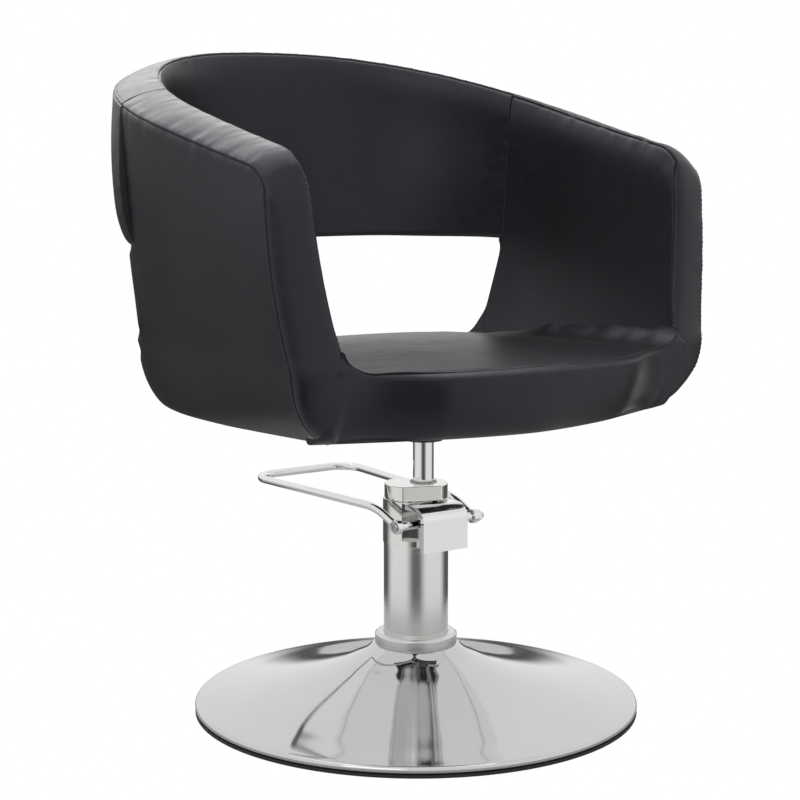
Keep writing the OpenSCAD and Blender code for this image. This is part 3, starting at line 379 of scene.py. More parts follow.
class Tub:
    """Places on the tub's inner and outer faces. A station is 0 at an arm's front, 1 where
    the arm starts to turn, and past that it grows by 1 for each degree of the turn."""

    low_power, rim_power = 0.61, 0.87  # how square the turn is, below and at the rim
    front_power, foot_power = 0.6, 1.6  # curves of the arms' fronts and of the front's foot
    bend_share, bulge_low_share = 0.17, 0.3  # bend of the rim, start of the back's swell
    slants = (-0.004, 0.016, 0.008)  # of the arms' front faces: foot, widest line, rim
    jamb_fillet, jamb_fillet_h = 1.8, 0.014  # rounding of the window's sides at their tops
    pad_inset, seat_edge = 0.002, 0.0025  # how far the arms reach in under the seat's sides
    led_over = 0.12  # width over which the front is led into the arms

    def __init__(self, sizes):
        self.s = sizes
        self.cross = math.degrees(sizes.cross_turn)
        self.tail = math.degrees(sizes.tail_turn)
        self.splay = math.degrees(sizes.jamb_splay)
        self.bulge_over = math.degrees(sizes.bulge_turn)
        self.pad_x = sizes.seat_half_w - self.pad_inset

    def power(self, z):
        s = self.s
        return mix(self.low_power, self.rim_power,
                   clip((z - s.knee_h) / (s.window_top_h - s.knee_h)))

    def rim_fall(self, y):
        r = self.s.corner_r
        return r * rounded(clip(1 - (self.s.rim_front_y + y) / r))

    def rim_h(self, y):
        s = self.s
        t = clip((y + s.rim_front_y) / (s.rim_back_y + s.rim_front_y))
        return mix(s.rim_front_h, s.rim_back_h,
                   t * (1 - self.bend_share) + t * t * self.bend_share) - self.rim_fall(y)

    def front_rise(self, z):
        s = self.s
        return max(0.0, (z - s.knee_h) / (s.rim_front_h - s.knee_h)) ** self.front_power

    def arm_front(self, z):
        s = self.s
        if z > s.knee_h:
            return mix(s.knee_front_y, s.rim_front_y, self.front_rise(z))
        t = clip((z - s.bottom_h) / (s.knee_h - s.bottom_h))
        return mix(s.foot_front_y, s.knee_front_y, math.sin(math.pi / 2 * t) ** self.front_power)

    def reach_in(self, z):
        s = self.s
        return mix(s.window_in_y, s.rim_back_y,
                   (z - s.window_top_h) / (s.rim_back_h - s.window_top_h))

    def reach_out(self, z):
        s = self.s
        if z > s.window_top_h:
            return mix(s.window_out_y, s.rim_back_y + s.strip_back_w,
                       (z - s.window_top_h) / (s.rim_back_h - s.strip_drop / 2 - s.window_top_h))
        return mix(s.low_back_y, s.window_out_y,
                   clip((z - s.knee_h) / (s.window_top_h - s.knee_h)))

    def half_in(self, z, top):
        s = self.s
        return mix(s.seat_half_w, s.rim_half_w, (z - s.seat_rear_h) / (top - s.seat_rear_h))

    def half_out(self, z, top, y):
        s = self.s
        strip = mix(s.strip_front_w, s.strip_cross_w,
                    clip((y + s.rim_front_y) / (s.turn_y + s.rim_front_y)))
        return mix(s.low_half_w, s.rim_half_w + strip, (z - s.knee_h) / (top - s.knee_h))

    def turn(self, u):
        return math.radians(max(0.0, u - 1))

    def slant(self, z):
        s = self.s
        foot, low, top = self.slants
        if z > s.knee_h:
            return mix(low, top, clip(self.front_rise(z)))
        return mix(foot, low, (z - s.bottom_h) / (s.knee_h - s.bottom_h))

    def along(self, u, z, reach, inner=0.0):
        if u < 1:
            return mix(-self.arm_front(z) - self.slant(z) * inner, self.s.turn_y, u)
        bend = abs(math.sin(self.turn(u))) ** self.power(z)
        return self.s.turn_y + (reach - self.s.turn_y) * bend

    def across(self, u, z, half):
        c = math.cos(self.turn(u))
        return half * math.copysign(abs(c) ** self.power(z), c)

    def rim_at(self, u):
        return self.rim_h(self.along(u, self.s.rim_front_h, self.s.rim_back_y))

    def inside(self, u, z):
        top = self.rim_at(u)
        deep = max(0.0, top - z) / self.s.inner_roll_h
        roll = self.s.inner_roll * deep * math.exp(1 - deep)
        return Vector((self.across(u, z, self.half_in(z, top) - roll),
                       self.along(u, z, self.reach_in(z) - roll, 1.0), z))

    def bulge(self, u, z):
        s = self.s
        turned = u - 1 > self.cross
        low = s.window_top_h if turned else s.knee_h
        size = mix(s.side_bulge, s.back_bulge, clip((u - 1 - self.cross) / self.bulge_over))
        rise = clip((z - low) / (self.rim_at(u) - s.strip_drop - low))
        return size * math.sin(math.pi * mix(self.bulge_low_share if turned else 0.0, 1, rise))

    def outside(self, u, z):
        top = self.rim_at(u) - self.s.strip_drop
        reach = self.reach_out(z)
        swell = self.bulge(u, z)
        half = self.half_out(z, top, self.along(u, z, reach))
        return Vector((self.across(u, z, half + swell), self.along(u, z, reach + swell), z))

    def strip(self, u, share_out):
        top = self.rim_at(u)
        p = mix(self.inside(u, top), self.outside(u, top - self.s.strip_drop), share_out)
        p.z += self.s.strip_crown * math.sin(math.pi * share_out)
        return p

    def low_turn(self, z):
        s = self.s
        return math.asin(clip((s.knee_h - z) / (s.knee_h - s.bottom_h)))

    def low(self, u, angle):
        s = self.s
        z = s.knee_h - (s.knee_h - s.bottom_h) * math.sin(angle)
        shrink = self.corner_w(u) * (1 - math.cos(angle))
        return Vector((self.across(u, z, s.low_half_w - shrink),
                       self.along(u, z, s.low_back_y - shrink / 2), z))

    def corner_w(self, u):
        return mix(self.s.low_corner_front_w, self.s.low_corner_w, clip(u))

    def low_end(self, u):
        c = math.cos(self.turn(u)) ** self.low_power
        return math.acos(clip(1 - (self.s.low_half_w - (self.pad_x + self.seat_edge) / c)
                              / self.corner_w(u)))

    def low_reach(self, z):
        s = self.s
        return s.low_back_y - s.low_corner_w / 2 * (1 - math.cos(self.low_turn(z)))

    def rear(self, x, z):
        s = self.s
        half = s.low_half_w - s.low_corner_w * (1 - math.cos(self.low_turn(z)))
        t = clip(abs(x) / half)
        return s.turn_y + (self.low_reach(z) - s.turn_y) * (1 - t ** (2 / self.low_power)) ** (
            self.low_power / 2)

    def seam_y(self, x):
        return -self.s.seam_y + self.s.seam_bow * (x / self.s.seat_half_w) ** 2

    def foot_y(self, x):
        return -self.s.foot_y + self.s.foot_bow * (abs(x) / self.s.seat_half_w) ** self.foot_power

    def inner_x(self, z):
        """Place x of an arm's inner face near its front."""
        s = self.s
        return max(self.pad_x, self.half_in(z, s.rim_front_h))

    def near_arm(self, x):
        """How far the front is led into the arms' front faces at a place x."""
        return eased((abs(x) - self.s.seat_half_w + self.led_over) / self.led_over)

    def front_edge_y(self, x, z):
        """The seat's front edge, led into the arms' front faces at its ends."""
        return mix(self.seam_y(x), self.arm_face_y(x, z, 0.0), self.near_arm(x))

    def arm_face_y(self, x, z, crown):
        """Front face of an arm at a place x, for the panel that runs on into it."""
        inner = self.inner_x(z)
        outer = (self.outside(0, z) if z > self.s.knee_h else self.low(0, self.low_turn(z))).x
        k = clip((abs(x) - inner) / (outer - inner))
        return -self.arm_front(z) - self.slant(z) * (1 - k) - crown * math.sin(math.pi * k)

    def face_y(self, z, inner):
        """Front face of an arm at a height, with its rounded top corner."""
        s = self.s
        r, corner = s.corner_r, s.rim_front_h - s.corner_r
        if z > corner:
            over = min(z - corner, r * 0.999)
            base = s.rim_front_y - r + math.sqrt(r * r - over * over)
        else:
            base = self.arm_front(z)
        return -base - self.slant(z) * inner


# Columns of an arm's ring: foot, inner face low and high, strip, outer face high and low,
# lower edge, underside. The front face pairs the inner columns with the outer ones.
FOOT, IN_LOW, IN_HIGH, STRIP, OUT_HIGH, OUT_LOW, EDGE, UNDER = 7, 20, 16, 12, 16, 14, 13, 12
INNER_SEAM = FOOT + IN_LOW + IN_HIGH
OUTER_SEAM = INNER_SEAM + STRIP
SILL = OUTER_SEAM + OUT_HIGH
ARM_COLUMNS = OUTER_SEAM + OUT_HIGH + OUT_LOW + EDGE + UNDER
SEAM_INNER, SEAM_OUTER = 1, 2
INNER_SEAM_END = IN_HIGH + IN_LOW * 0.6
OUTER_END = SILL + OUT_LOW + EDGE
TURN_SHARES = even(22) + [0.985, 0.997, 1.0]
# How far below the window's top the rings lie that draw its sides
JAMB_DROPS = [0.0003, 0.002, 0.005, 0.010, 0.016, 0.024, 0.034, 0.044, 0.054, 0.064, 0.074,
              0.084, 0.094]
FRONT_ROWS, FRONT_CROWDING = 46, 1.25  # rings of the straight part, closer at the front
TAIL_ROWS, TAIL_FALL_TURN = 24, 20.0  # rings of the tail, degrees over which its top falls
SPREAD_POWER = 1.6  # how late the window's sides open outwards
LEDGE = 0.25  # share of the tail's top that its two edges take
BOARD_SAG, BOARD_REACH, BOARD_FADE = 0.003, 0.033, 0.015  # underside below the side panel
PANEL_TOP_H, PANEL_FADE, PANEL_HOLD = 0.515, 0.03, 0.02  # where the front panel laps the face
TOE_H, CROWN_ROWS = 0.02, 12  # rounding at the face's foot, rows over which its swell starts


def arm_ring(tub, u, top, spread=0.0):
    """Points round an arm's wall at station u. The spread leads its outer face on, high up."""
    s = tub.s
    whole = top > s.window_top_h
    out_top = top - s.strip_drop if whole else top
    sill = min(s.window_top_h, out_top)
    knee = min(s.knee_h, out_top)
    seat = s.tail_h - tub.seat_edge
    end = tub.low_end(u)

    def inner(z):
        near = clip(1 - (s.window_top_h - z) / tub.jamb_fillet_h)
        p = tub.inside(u + (tub.jamb_fillet * near ** 2 if spread else 0.0), z)
        p.x = max(p.x, tub.pad_x)
        return p

    def outer(z):
        if z < s.knee_h:
            return tub.low(u, tub.low_turn(z))
        high = clip((z - s.jamb_low_h) / (s.window_top_h - s.jamb_low_h))
        return tub.outside(u + spread * high ** SPREAD_POWER, z)

    foot = tub.low(u, end)
    toe = Vector((tub.pad_x, tub.along(u, foot.z, tub.low_reach(foot.z), 1.0), foot.z))
    near, far = inner(top), outer(out_top)
    ring = [mix(toe, inner(seat), k) for k in even(FOOT)]
    ring += [inner(mix(seat, min(s.window_top_h, top), k)) for k in even(IN_LOW)]
    ring += [inner(mix(s.window_top_h, top, k)) if whole else mix(near, far, LEDGE * k)
             for k in even(IN_HIGH)]
    ring += [tub.strip(u, k) if whole else mix(near, far, mix(LEDGE, 1 - LEDGE, k))
             for k in gathered(STRIP)]
    ring += [outer(mix(out_top, sill, k)) if whole else mix(near, far, mix(1 - LEDGE, 1, k))
             for k in even(OUT_HIGH)]
    ring += [outer(mix(sill, knee, k)) for k in even(OUT_LOW)]
    ring += [tub.low(u, mix(tub.low_turn(knee), end, k)) for k in even(EDGE)]
    ring += [mix(foot, toe, k) for k in gathered(UNDER)]
    # the underside hangs a little lower where the side panel's board stands over it
    for p in ring[SILL + OUT_LOW:]:
        p.z -= BOARD_SAG * eased((tub.pad_x + BOARD_REACH - p.x) / BOARD_FADE)
    return ring


def front_start(tub, edge_r):
    """Station of an arm's first ring, behind the rounded edge of its front face."""
    return edge_r / (tub.s.rim_front_y + tub.s.turn_y)


def arm_rings(tub, edge_r):
    """Rings of an arm from its front to the end of its tail, and the row of the corner."""
    s = tub.s
    start = front_start(tub, edge_r)
    stations = [mix(start, 1.0, k ** FRONT_CROWDING) for k in even(FRONT_ROWS)]
    stations += [1 + tub.cross * k for k in TURN_SHARES]
    rows = [(u, tub.rim_at(u)) for u in stations]
    corner = len(rows) - 1
    rows += [(stations[-1], s.window_top_h - d, tub.splay) for d in JAMB_DROPS]
    for k in full(TAIL_ROWS):
        turned = (tub.tail - tub.cross) * k
        height = mix(s.tail_h, s.jamb_low_h, (1 - clip(turned / TAIL_FALL_TURN)) ** 3)
        rows.append((stations[-1] + turned, height, tub.splay * (1 - k) ** 2))
    return [arm_ring(tub, *row) for row in rows], corner


def arm_front_patch(tub, bm, ring, edge_r, crown):
    """The front face of an arm, welded to its first ring all round."""
    across = gathered(STRIP) + [1.0]
    rows = INNER_SEAM

    def place(i, j):
        a, b = ring[INNER_SEAM - i], ring[OUTER_SEAM + i]
        if i == 0:
            return ring[INNER_SEAM + j].copy()
        if i == rows:
            return ring[(ARM_COLUMNS - j) % ARM_COLUMNS].copy()
        s = across[j]
        p = mix(a, b, s)
        if j in (0, STRIP):
            return p
        width = (b - a).length
        held = PANEL_HOLD * (1 - eased((p.z - PANEL_TOP_H) / PANEL_FADE))
        gap = min((1 - s) * width, s * width + held)
        below = min(1.0, (p.z - ring[0].z) / TOE_H)
        g = math.sqrt(1 - (1 - min(1.0, gap / edge_r)) ** 2) * math.sqrt(clip(1 - (1 - below) ** 2))
        p.y = mix(p.y, tub.face_y(p.z, 1 - s)
                  - crown * math.sin(math.pi * s) * eased(i / CROWN_ROWS), g)
        return p

    def mark(i, j):
        if j == 0 and i < INNER_SEAM_END:
            return SEAM_INNER
        return SEAM_OUTER if j == STRIP and i < OUT_HIGH + OUT_LOW + EDGE else 0

    grid(bm, rows, STRIP, place, mark)


SEAM_STEP = 0.0006  # distance of the points that stand for a seam
GROOVE_SHARE = 0.42  # share of the seam's half width that is pressed down
FADE_LOW_H, FADE_OVER, FADE_LEAST = 0.62, 0.12, 0.15  # how the inner seam fades downwards
PUCKER_RUN, FINE_PUCKER_RUN = 0.09, 0.05  # length of the gathers, square to a seam
FINE_SHARE, FINE_PUCKERS = 0.6, 2.1  # height and number of the fine gathers, as shares
SEAM_HOLD, RIPPLE_START = 0.004, 0.05  # how far a seam holds the cover and keeps waves away


def seam_paths(bm, ids):
    """Edges whose two ends lie on the same seam, and points along them."""
    layer = bm.verts.layers.int["seam"]
    edges = [e for e in bm.edges if e.verts[0][layer] in ids
             and e.verts[0][layer] == e.verts[1][layer]]
    points = []
    for e in edges:
        a, b = (v.co for v in e.verts)
        count = max(2, int((b - a).length / SEAM_STEP))
        points += [a.lerp(b, k / count) for k in range(count)]
    return edges, points


def tree_of(points):
    tree = KDTree(len(points))
    for k, p in enumerate(points):
        tree.insert(p, k)
    tree.balance()
    return tree


def press_seams(bm, sizes):
    """Sews the marked lines down into grooves."""
    edges, points = seam_paths(bm, {SEAM_INNER, SEAM_OUTER})
    inner = tree_of(seam_paths(bm, {SEAM_INNER})[1])
    bmesh.ops.bevel(bm, geom=edges, offset=sizes.groove_w, offset_type="OFFSET", segments=2,
                    profile=0.5, affect="EDGES", material=-1, clamp_overlap=True)
    tree = tree_of(points)
    reach = sizes.groove_w * GROOVE_SHARE

    def move(v):
        if tree.find(v.co)[2] >= reach:
            return None
        fade = 1.0
        if inner.find(v.co)[2] < reach:
            fade = mix(FADE_LEAST, 1.0, eased((v.co.z - FADE_LOW_H) / FADE_OVER))
        return v.normal * -(sizes.groove_depth * fade)

    push(bm, move)


def push(bm, move_of):
    """Moves the points of a mesh, each by what move_of gives for it as the mesh was."""
    bm.normal_update()
    moves = [(v, move_of(v)) for v in bm.verts]
    for v, move in moves:
        if move is not None:
            v.co += move


def gather(bm, lines, sizes, seed):
    """Raises small gathers that run square to the seams, and slow waves in the cover."""
    points, lengths = [], []
    for line in lines:
        run = 0.0
        for a, b in zip(line, line[1:]):
            points.append(a)
            lengths.append(run)
            run += (b - a).length
    tree = tree_of(points)

    def move(v):
        _, k, distance = tree.find(v.co)
        run = lengths[k] / sizes.pucker_l
        wave = noise.noise(Vector((run, distance / PUCKER_RUN, seed)))
        wave += FINE_SHARE * noise.noise(
            Vector((run * FINE_PUCKERS, distance / FINE_PUCKER_RUN, seed + 7)))
        near = eased(distance / SEAM_HOLD) * math.exp(-distance / sizes.pucker_reach)
        slow = noise.noise(v.co / sizes.ripple_l + Vector((seed, 0, 0)))
        return v.normal * (sizes.pucker * wave * near
                           + sizes.ripple * slow * eased(distance / RIPPLE_START))

    push(bm, move)


def relax(bm, rounds, keep=None):
    loose = [v for v in bm.verts if keep is None or not keep(v)]
    for _ in range(rounds):
        bmesh.ops.smooth_vert(bm, verts=loose, factor=0.5, use_axis_x=True, use_axis_y=True,
                              use_axis_z=True)


def sewn(bm, ends, lines, seams, seed):
    """Softens a padded body away from its ends, then gathers and sews its cover."""
    fixed = tree_of(ends)
    relax(bm, 3, lambda v: fixed.find(v.co)[2] < 1e-5)
    gather(bm, lines, seams, seed)
    press_seams(bm, seams)
    bmesh.ops.recalc_face_normals(bm, faces=bm.faces)
    return bm


def arm_mesh(tub, seams, seed):
    rings, corner = arm_rings(tub, seams.front_edge_r)

    def mark(i, j):
        if i <= corner and j == INNER_SEAM or i == 0 and 0 < INNER_SEAM - j < INNER_SEAM_END:
            return SEAM_INNER
        if i <= corner and j == OUTER_SEAM or i == 0 and OUTER_SEAM < j < OUTER_END:
            return SEAM_OUTER
        return 0

    bm = loft(rings, mark)
    arm_front_patch(tub, bm, rings[0], seams.front_edge_r, seams.front_crown)
    seal(bm)
    ends = [rings[k][j] for k in (corner, corner + 1) for j in range(FOOT, SILL + 1)]
    inner = [rings[i][INNER_SEAM] for i in range(corner + 1)]
    outer = [rings[0][j] for j in range(OUTER_END, OUTER_SEAM, -1)] + [
        rings[i][OUTER_SEAM] for i in range(corner + 1)]
    cross = [rings[corner][j] for j in range(SILL - 4, OUTER_SEAM, -1)]
    return sewn(bm, ends, [inner, outer, cross], seams, seed)


BACK_IN, BACK_OUT, BACK_UNDER = 40, 36, 14
BACK_FACES = BACK_IN + STRIP + BACK_OUT
BACK_SEAMS = {BACK_IN: SEAM_INNER, BACK_IN + STRIP: SEAM_OUTER}
BACK_ROWS = 124
BACK_ENDS = ([0.0, 0.0003, 0.002], [0.998, 0.9997, 1.0])  # rows that stand close to the arms
BACK_GAP = 0.03  # degrees of the turn between an arm and the back
INNER_LIFT, OUTER_LIFT = (0.012, 0.004), (0.022, 0.008)  # reach and height at the lower edge
OUTER_DRAW = (0.06, 0.010)  # reach and distance by which its outer corner is drawn in


def back_ring(tub, u):
    s = tub.s
    top, low = tub.rim_at(u), s.window_top_h
    out_top = top - s.strip_drop
    near, far = tub.inside(u, low), tub.outside(u, low)
    ring = [tub.inside(u, mix(low, top, k)) for k in even(BACK_IN)]
    ring += [tub.strip(u, k) for k in gathered(STRIP)]
    ring += [tub.outside(u, mix(out_top, low, k)) for k in even(BACK_OUT)]
    ring += [mix(far, near, k) for k in gathered(BACK_UNDER)]

    def moved(p, corner, reach, most):
        return most * clip(1 - (p - corner).length / reach) ** 2

    # the lower edge is rounded: its corners are lifted and the outer one is drawn in
    return [p + Vector((0, 0, moved(p, near, *INNER_LIFT) + moved(p, far, *OUTER_LIFT)))
            + (near - far).normalized() * moved(p, far, *OUTER_DRAW) for p in ring]


def back_mesh(tub, seams, seed):
    shares = BACK_ENDS[0] + even(BACK_ROWS)[1:] + BACK_ENDS[1]
    turn = tub.cross + BACK_GAP
    rings = [back_ring(tub, 1 + mix(turn, 180 - turn, k)) for k in shares]
    bm = loft(rings, lambda i, j: BACK_SEAMS.get(j, 0))
    seal(bm)
    lines = [[r[j] for r in rings] for j in BACK_SEAMS]
    lines += [rings[0][:BACK_FACES], rings[-1][:BACK_FACES]]
    return sewn(bm, rings[0] + rings[-1], lines, seams, seed)


SLICES, SLICE_CROWDING = 128, 0.8  # slices across the chair, closer together at the arms
LAP = 0.0012  # how far the raised cover reaches into an arm
RISE_GROWN, RISE_FADE, RISE_GONE = 0.3, 0.36, 0.5  # its growth and fade, as shares of the depth
FOLDS, FINE_FOLDS = (0.034, 0.11), (0.015, 0.06)  # length and run of the folds at the arms
FOLD_REACH, FOLD_POWER, FOLD_SHARE, FOLD_START = 0.05, 0.4, 0.35, 0.12
EDGE_WAVES = (0.0008, 0.03, 0.09)  # height, length and run of the waves at the front seam
SLOW_WAVES = (0.0018, 0.12)  # height and length of the waves in the middle
EDGE_SEED, SLOW_SEED = 9.0, 2.0
FRONT_LIP, REAR_LIP = (0.0035, 0.010), (0.006, 0.014)  # fall and width of the top's edges
TOP_START, TOP_END, TOP_CLEAR = 0.0004, 0.0008, 0.001  # what the top keeps from its borders
SEAM_GAP = 0.0008  # what the hidden edges keep from the front seam
TUCK, TUCK_OVER = 0.006, 0.003  # how far the rear is drawn in beside the arms
HEM_W, BOARD_GAP = 0.012, 0.0003  # width of the hem below, and its distance from the board
HEM_H, SKIRT_DROP = 0.0005, 0.008  # height of the hem, start of the rear skirt
FRONT_END_H, FRONT_STEEP = 0.006, 1.2  # the hidden front of the cushion


def cushion(columns, width, place):
    """A closed, softened body from slices across the chair."""
    bm = bmesh.new()

    def slice_place(i, j):
        t = 2 * i / SLICES - 1
        return place(mix(t, math.sin(math.pi / 2 * t), SLICE_CROWDING) * width, j % columns)

    grid(bm, SLICES, columns, slice_place)
    seal(bm)
    relax(bm, 2)
    return bm


def side_rise(tub, seams, x, back):
    """Height by which the cover rises to an arm, at a share of the way from front to back."""
    height = mix(seams.front_rise, seams.seat_rise, eased(back / RISE_GROWN))
    edge = tub.inner_x(tub.s.seat_front_h + height) + LAP
    t = clip((abs(x) - edge + seams.rise_w) / seams.rise_w)
    return height * rounded(t) * (1 - eased((back - RISE_FADE) / RISE_GONE))


def seat_mesh(tub, seams):
    """The seat cushion, as slices across the chair."""
    s = tub.s
    top_n, rear_n, hem_n, under_n, front_n = 60, 16, 8, 10, 6
    low = s.board_top_h + BOARD_GAP
    hem_h = s.bottom_h + HEM_H
    top_shares = gathered(top_n)

    def top_h(x, y, back):
        f = tub.seam_y(x)
        t = clip((y - f) / (back - f))
        middle = math.sin(math.pi * t)
        side, seed = max(0.0, s.seat_half_w - abs(x)), 3.0 + math.copysign(1, x)
        fold = noise.noise(Vector((y / FOLDS[0], side / FOLDS[1], seed)))
        fold += FINE_SHARE * noise.noise(
            Vector((y / FINE_FOLDS[0], side / FINE_FOLDS[1], seed + 2)))
        away = math.exp(-side / FOLD_REACH) * middle ** FOLD_POWER
        h = mix(s.seat_front_h, s.seat_rear_h, t)
        h += s.seat_crown * (1 - (x / s.seat_half_w) ** 2 / 2) * middle
        h += side_rise(tub, seams, x, t) * (1 + FOLD_SHARE * fold * eased(t / FOLD_START))
        h += seams.seat_gather * fold * away
        rise, wave_l, run = EDGE_WAVES
        h += rise * noise.noise(Vector((x / wave_l, (y - f) / run, EDGE_SEED))) * math.exp(
            -(y - f) / wave_l)
        rise, wave_l = SLOW_WAVES
        h += rise * noise.noise(Vector((x / wave_l, y / wave_l, SLOW_SEED))) * middle
        for (fall, lip), inside in ((FRONT_LIP, y - f), (REAR_LIP, back - y)):
            h -= fall * rounded(clip(1 - inside / lip))
        return h

    def place(x, j):
        tuck = TUCK * eased((abs(x) - tub.pad_x) / TUCK_OVER)
        f, back = tub.front_edge_y(x, s.seat_front_h), tub.rear(x, s.seat_rear_h) - tuck
        end = tub.rear(x, s.bottom_h) - HEM_W + BOARD_GAP - tuck
        if j < top_n:
            y = mix(f + TOP_START, back - TOP_END, top_shares[j])
            return Vector((x, y, top_h(x, y, back)))
        j -= top_n
        if j < rear_n:
            z = mix(s.seat_rear_h - SKIRT_DROP, hem_h, j / rear_n)
            return Vector((x, min(tub.rear(x, z) - tuck, back), z))
        j -= rear_n
        if j < hem_n:
            k = 2 * j / hem_n
            return Vector((x, mix(end + HEM_W, end, min(1.0, k)),
                           mix(hem_h, low, max(0.0, k - 1.0))))
        j -= hem_n
        if j < under_n:
            return Vector((x, mix(end, tub.foot_y(x) + HEM_W, j / under_n), low))
        k = (j - under_n) / front_n
        return Vector((x, mix(tub.foot_y(x) + HEM_W, f + SEAM_GAP, k),
                       mix(low, s.seat_front_h - FRONT_END_H, min(1.0, k * FRONT_STEEP))))

    return cushion(top_n + rear_n + hem_n + under_n + front_n,
                   tub.inner_x(s.seat_front_h + seams.front_rise) + TOP_CLEAR, place)


FACE_CROWDING = 0.6  # how much closer the front's rows lie at its top
FACE_BACK, FACE_BACK_H = 0.0117, 0.0145  # depth of the panel, height of its hidden step
FACE_PROUD = 0.0005  # what it stands out over the arms' faces
BELLY, BELLY_START = 0.008, 0.10  # swell below the seam
TOP_ROLL, ROLL_OVER, ROLL_OVER_ARMS = 0.004, 0.05, 0.3  # roll of its top, and over the arms
ROLL_BLEND = 0.006  # width over which the one passes into the other
END_ROLL, END_ROLL_W = 0.0035, 0.016  # roll of its two ends
FACE_WAVES = (0.0018, 0.045, 1.4)  # height, length and run of the waves below the seam
FACE_WAVE_REACH = 0.25  # share of the panel's height over which they fade
FACE_SEED = 21.0


def front_mesh(tub, seams):
    """The panel that falls from the seat's front seam to the tub's lower edge."""
    s = tub.s
    face_n, back_n, top_n = 48, 10, 6
    inner = tub.inner_x(s.seat_front_h + seams.front_rise)
    end = inner + seams.front_over
    step_h = s.seat_front_h - FACE_BACK_H

    def place(x, j):
        top = s.seat_front_h - SEAM_GAP + side_rise(tub, seams, x, 0.0)
        foot = tub.foot_y(x)
        back = foot + FACE_BACK
        if j < face_n:
            k = j / face_n
            k = mix(k, k * k, FACE_CROWDING)
            z = mix(top, s.bottom_h, k)
            own = mix(foot, tub.seam_y(x), math.sin(math.pi / 2 * (1 - k)) ** tub.front_power)
            arm = tub.arm_face_y(x, z, seams.front_crown) - FACE_PROUD
            near = tub.near_arm(x)
            bulge = s.front_bulge * (1 - clip(abs(x) / s.seat_half_w) ** 2)
            over = mix(ROLL_OVER, ROLL_OVER_ARMS, eased((abs(x) - inner) / ROLL_BLEND))
            high, wave_l, run = FACE_WAVES
            wave = noise.noise(Vector((x / wave_l, k * run, FACE_SEED)))
            y = mix(own, arm, near) - bulge * math.sin(math.pi * k)
            y -= BELLY * eased(k / BELLY_START) * (1 - k) * (1 - near)
            y += TOP_ROLL * (1 - eased(k / over))
            y += END_ROLL * clip(1 - (end - abs(x)) / END_ROLL_W) ** 2
            y -= high * wave * math.exp(-k / FACE_WAVE_REACH) * eased(k / ROLL_OVER)
            return Vector((x, y, z))
        j -= face_n
        if j < back_n:
            # a quarter of these rows runs in below, and the others run up behind
            k = 4 * j / back_n
            return Vector((x, mix(foot, back, min(1.0, k)),
                           mix(s.bottom_h, step_h, max(0.0, (k - 1) / 3))))
        k = (j - back_n) / top_n
        return Vector((x, mix(back, tub.front_edge_y(x, top) + HEM_W, k),
                       mix(step_h, top - TOP_CLEAR, k)))

    return cushion(face_n + back_n + top_n, end, place)


# ---------------------------------------------------------------- stitching

INNER_ROW_SHARE = 0.55  # how much closer the inner row lies to its seam
FACE_ROWS = (0.06, 0.09)  # rows on an arm's front face, as shares of its width
FACE_ROW_DEPTH = 0.7  # how far they lie in front of the first ring, in edge radii
CROSS_TOP, CROSS_FOOT = 0.004, 0.010  # what the rows between arm and back keep from its ends
SEAT_ROW_HALF_W = 0.25  # half the length of the row on the seat
ARM_ROW_SHORT, BACK_ROW_SHORT = 0.4, 0.5  # degrees by which the strip's rows stop before that seam
ROW_POINTS = {"cross": 40, "face": 36, "arm": 60, "bend": 30, "back": 160, "seat": 90}
STITCH_REACH = 0.012  # how far a stitch may lie from its place on the cover
THREAD_FLAT, THREAD_SUNK = 1.25, 0.45  # width and depth of a stitch, in thread radii


def evenly(line, pitch):
    """Points and directions along a line of points, at an even pitch."""
    runs = [0.0]
    for a, b in zip(line, line[1:]):
        runs.append(runs[-1] + (b - a).length)
    count = int(runs[-1] / pitch)
    for k in range(count):
        at = (k + 0.5) * runs[-1] / count
        i = min(len(line) - 2, max(0, bisect.bisect_right(runs, at) - 1))
        a, b = line[i], line[i + 1]
        if (b - a).length > 1e-7:
            yield a.lerp(b, (at - runs[i]) / (runs[i + 1] - runs[i])), (b - a).normalized()


def sew(bm, surface, lines, sizes):
    """Stitches along lines, each lying on the surface."""
    for line in lines:
        for point, way in evenly(line, sizes.stitch_pitch):
            place, normal, _, distance = surface.find_nearest(point)
            if place is None or distance > STITCH_REACH:
                continue
            way = (way - normal * way.dot(normal)).normalized()
            side = normal.cross(way)
            turn = Matrix((way, side, normal)).transposed().to_4x4()
            size = Matrix.Diagonal((sizes.stitch_l / 2, sizes.thread_r * THREAD_FLAT,
                                    sizes.thread_r, 1.0))
            sunk = Matrix.Translation(place - normal * sizes.thread_r * THREAD_SUNK)
            bmesh.ops.create_uvsphere(bm, u_segments=6, v_segments=4, radius=1.0,
                                      matrix=sunk @ turn @ size)


# ---------------------------------------------------------------- materials

def nodes_of(material):
    material.use_nodes = True
    tree = material.node_tree
    return tree, tree.nodes["Principled BSDF"]


def new_group(name, inputs, outputs):
    group = bpy.data.node_groups.new(name, "ShaderNodeTree")
    for label, kind, default in inputs:
        socket = group.interface.new_socket(name=label, in_out="INPUT", socket_type=kind)
        if default is not None:
            socket.default_value = default
    for label, kind in outputs:
        group.interface.new_socket(name=label, in_out="OUTPUT", socket_type=kind)
    return group, group.nodes.new("NodeGroupInput"), group.nodes.new("NodeGroupOutput")


def math_node(tree, operation, a, b=None):
    node = add(tree, "Math")
    node.operation = operation
    for socket, value in zip(node.inputs, (a, b)):
        if value is None:
            continue
        if isinstance(value, (int, float)):
            socket.default_value = value
        else:
            tree.links.new(value, socket)
    return node.outputs[0]


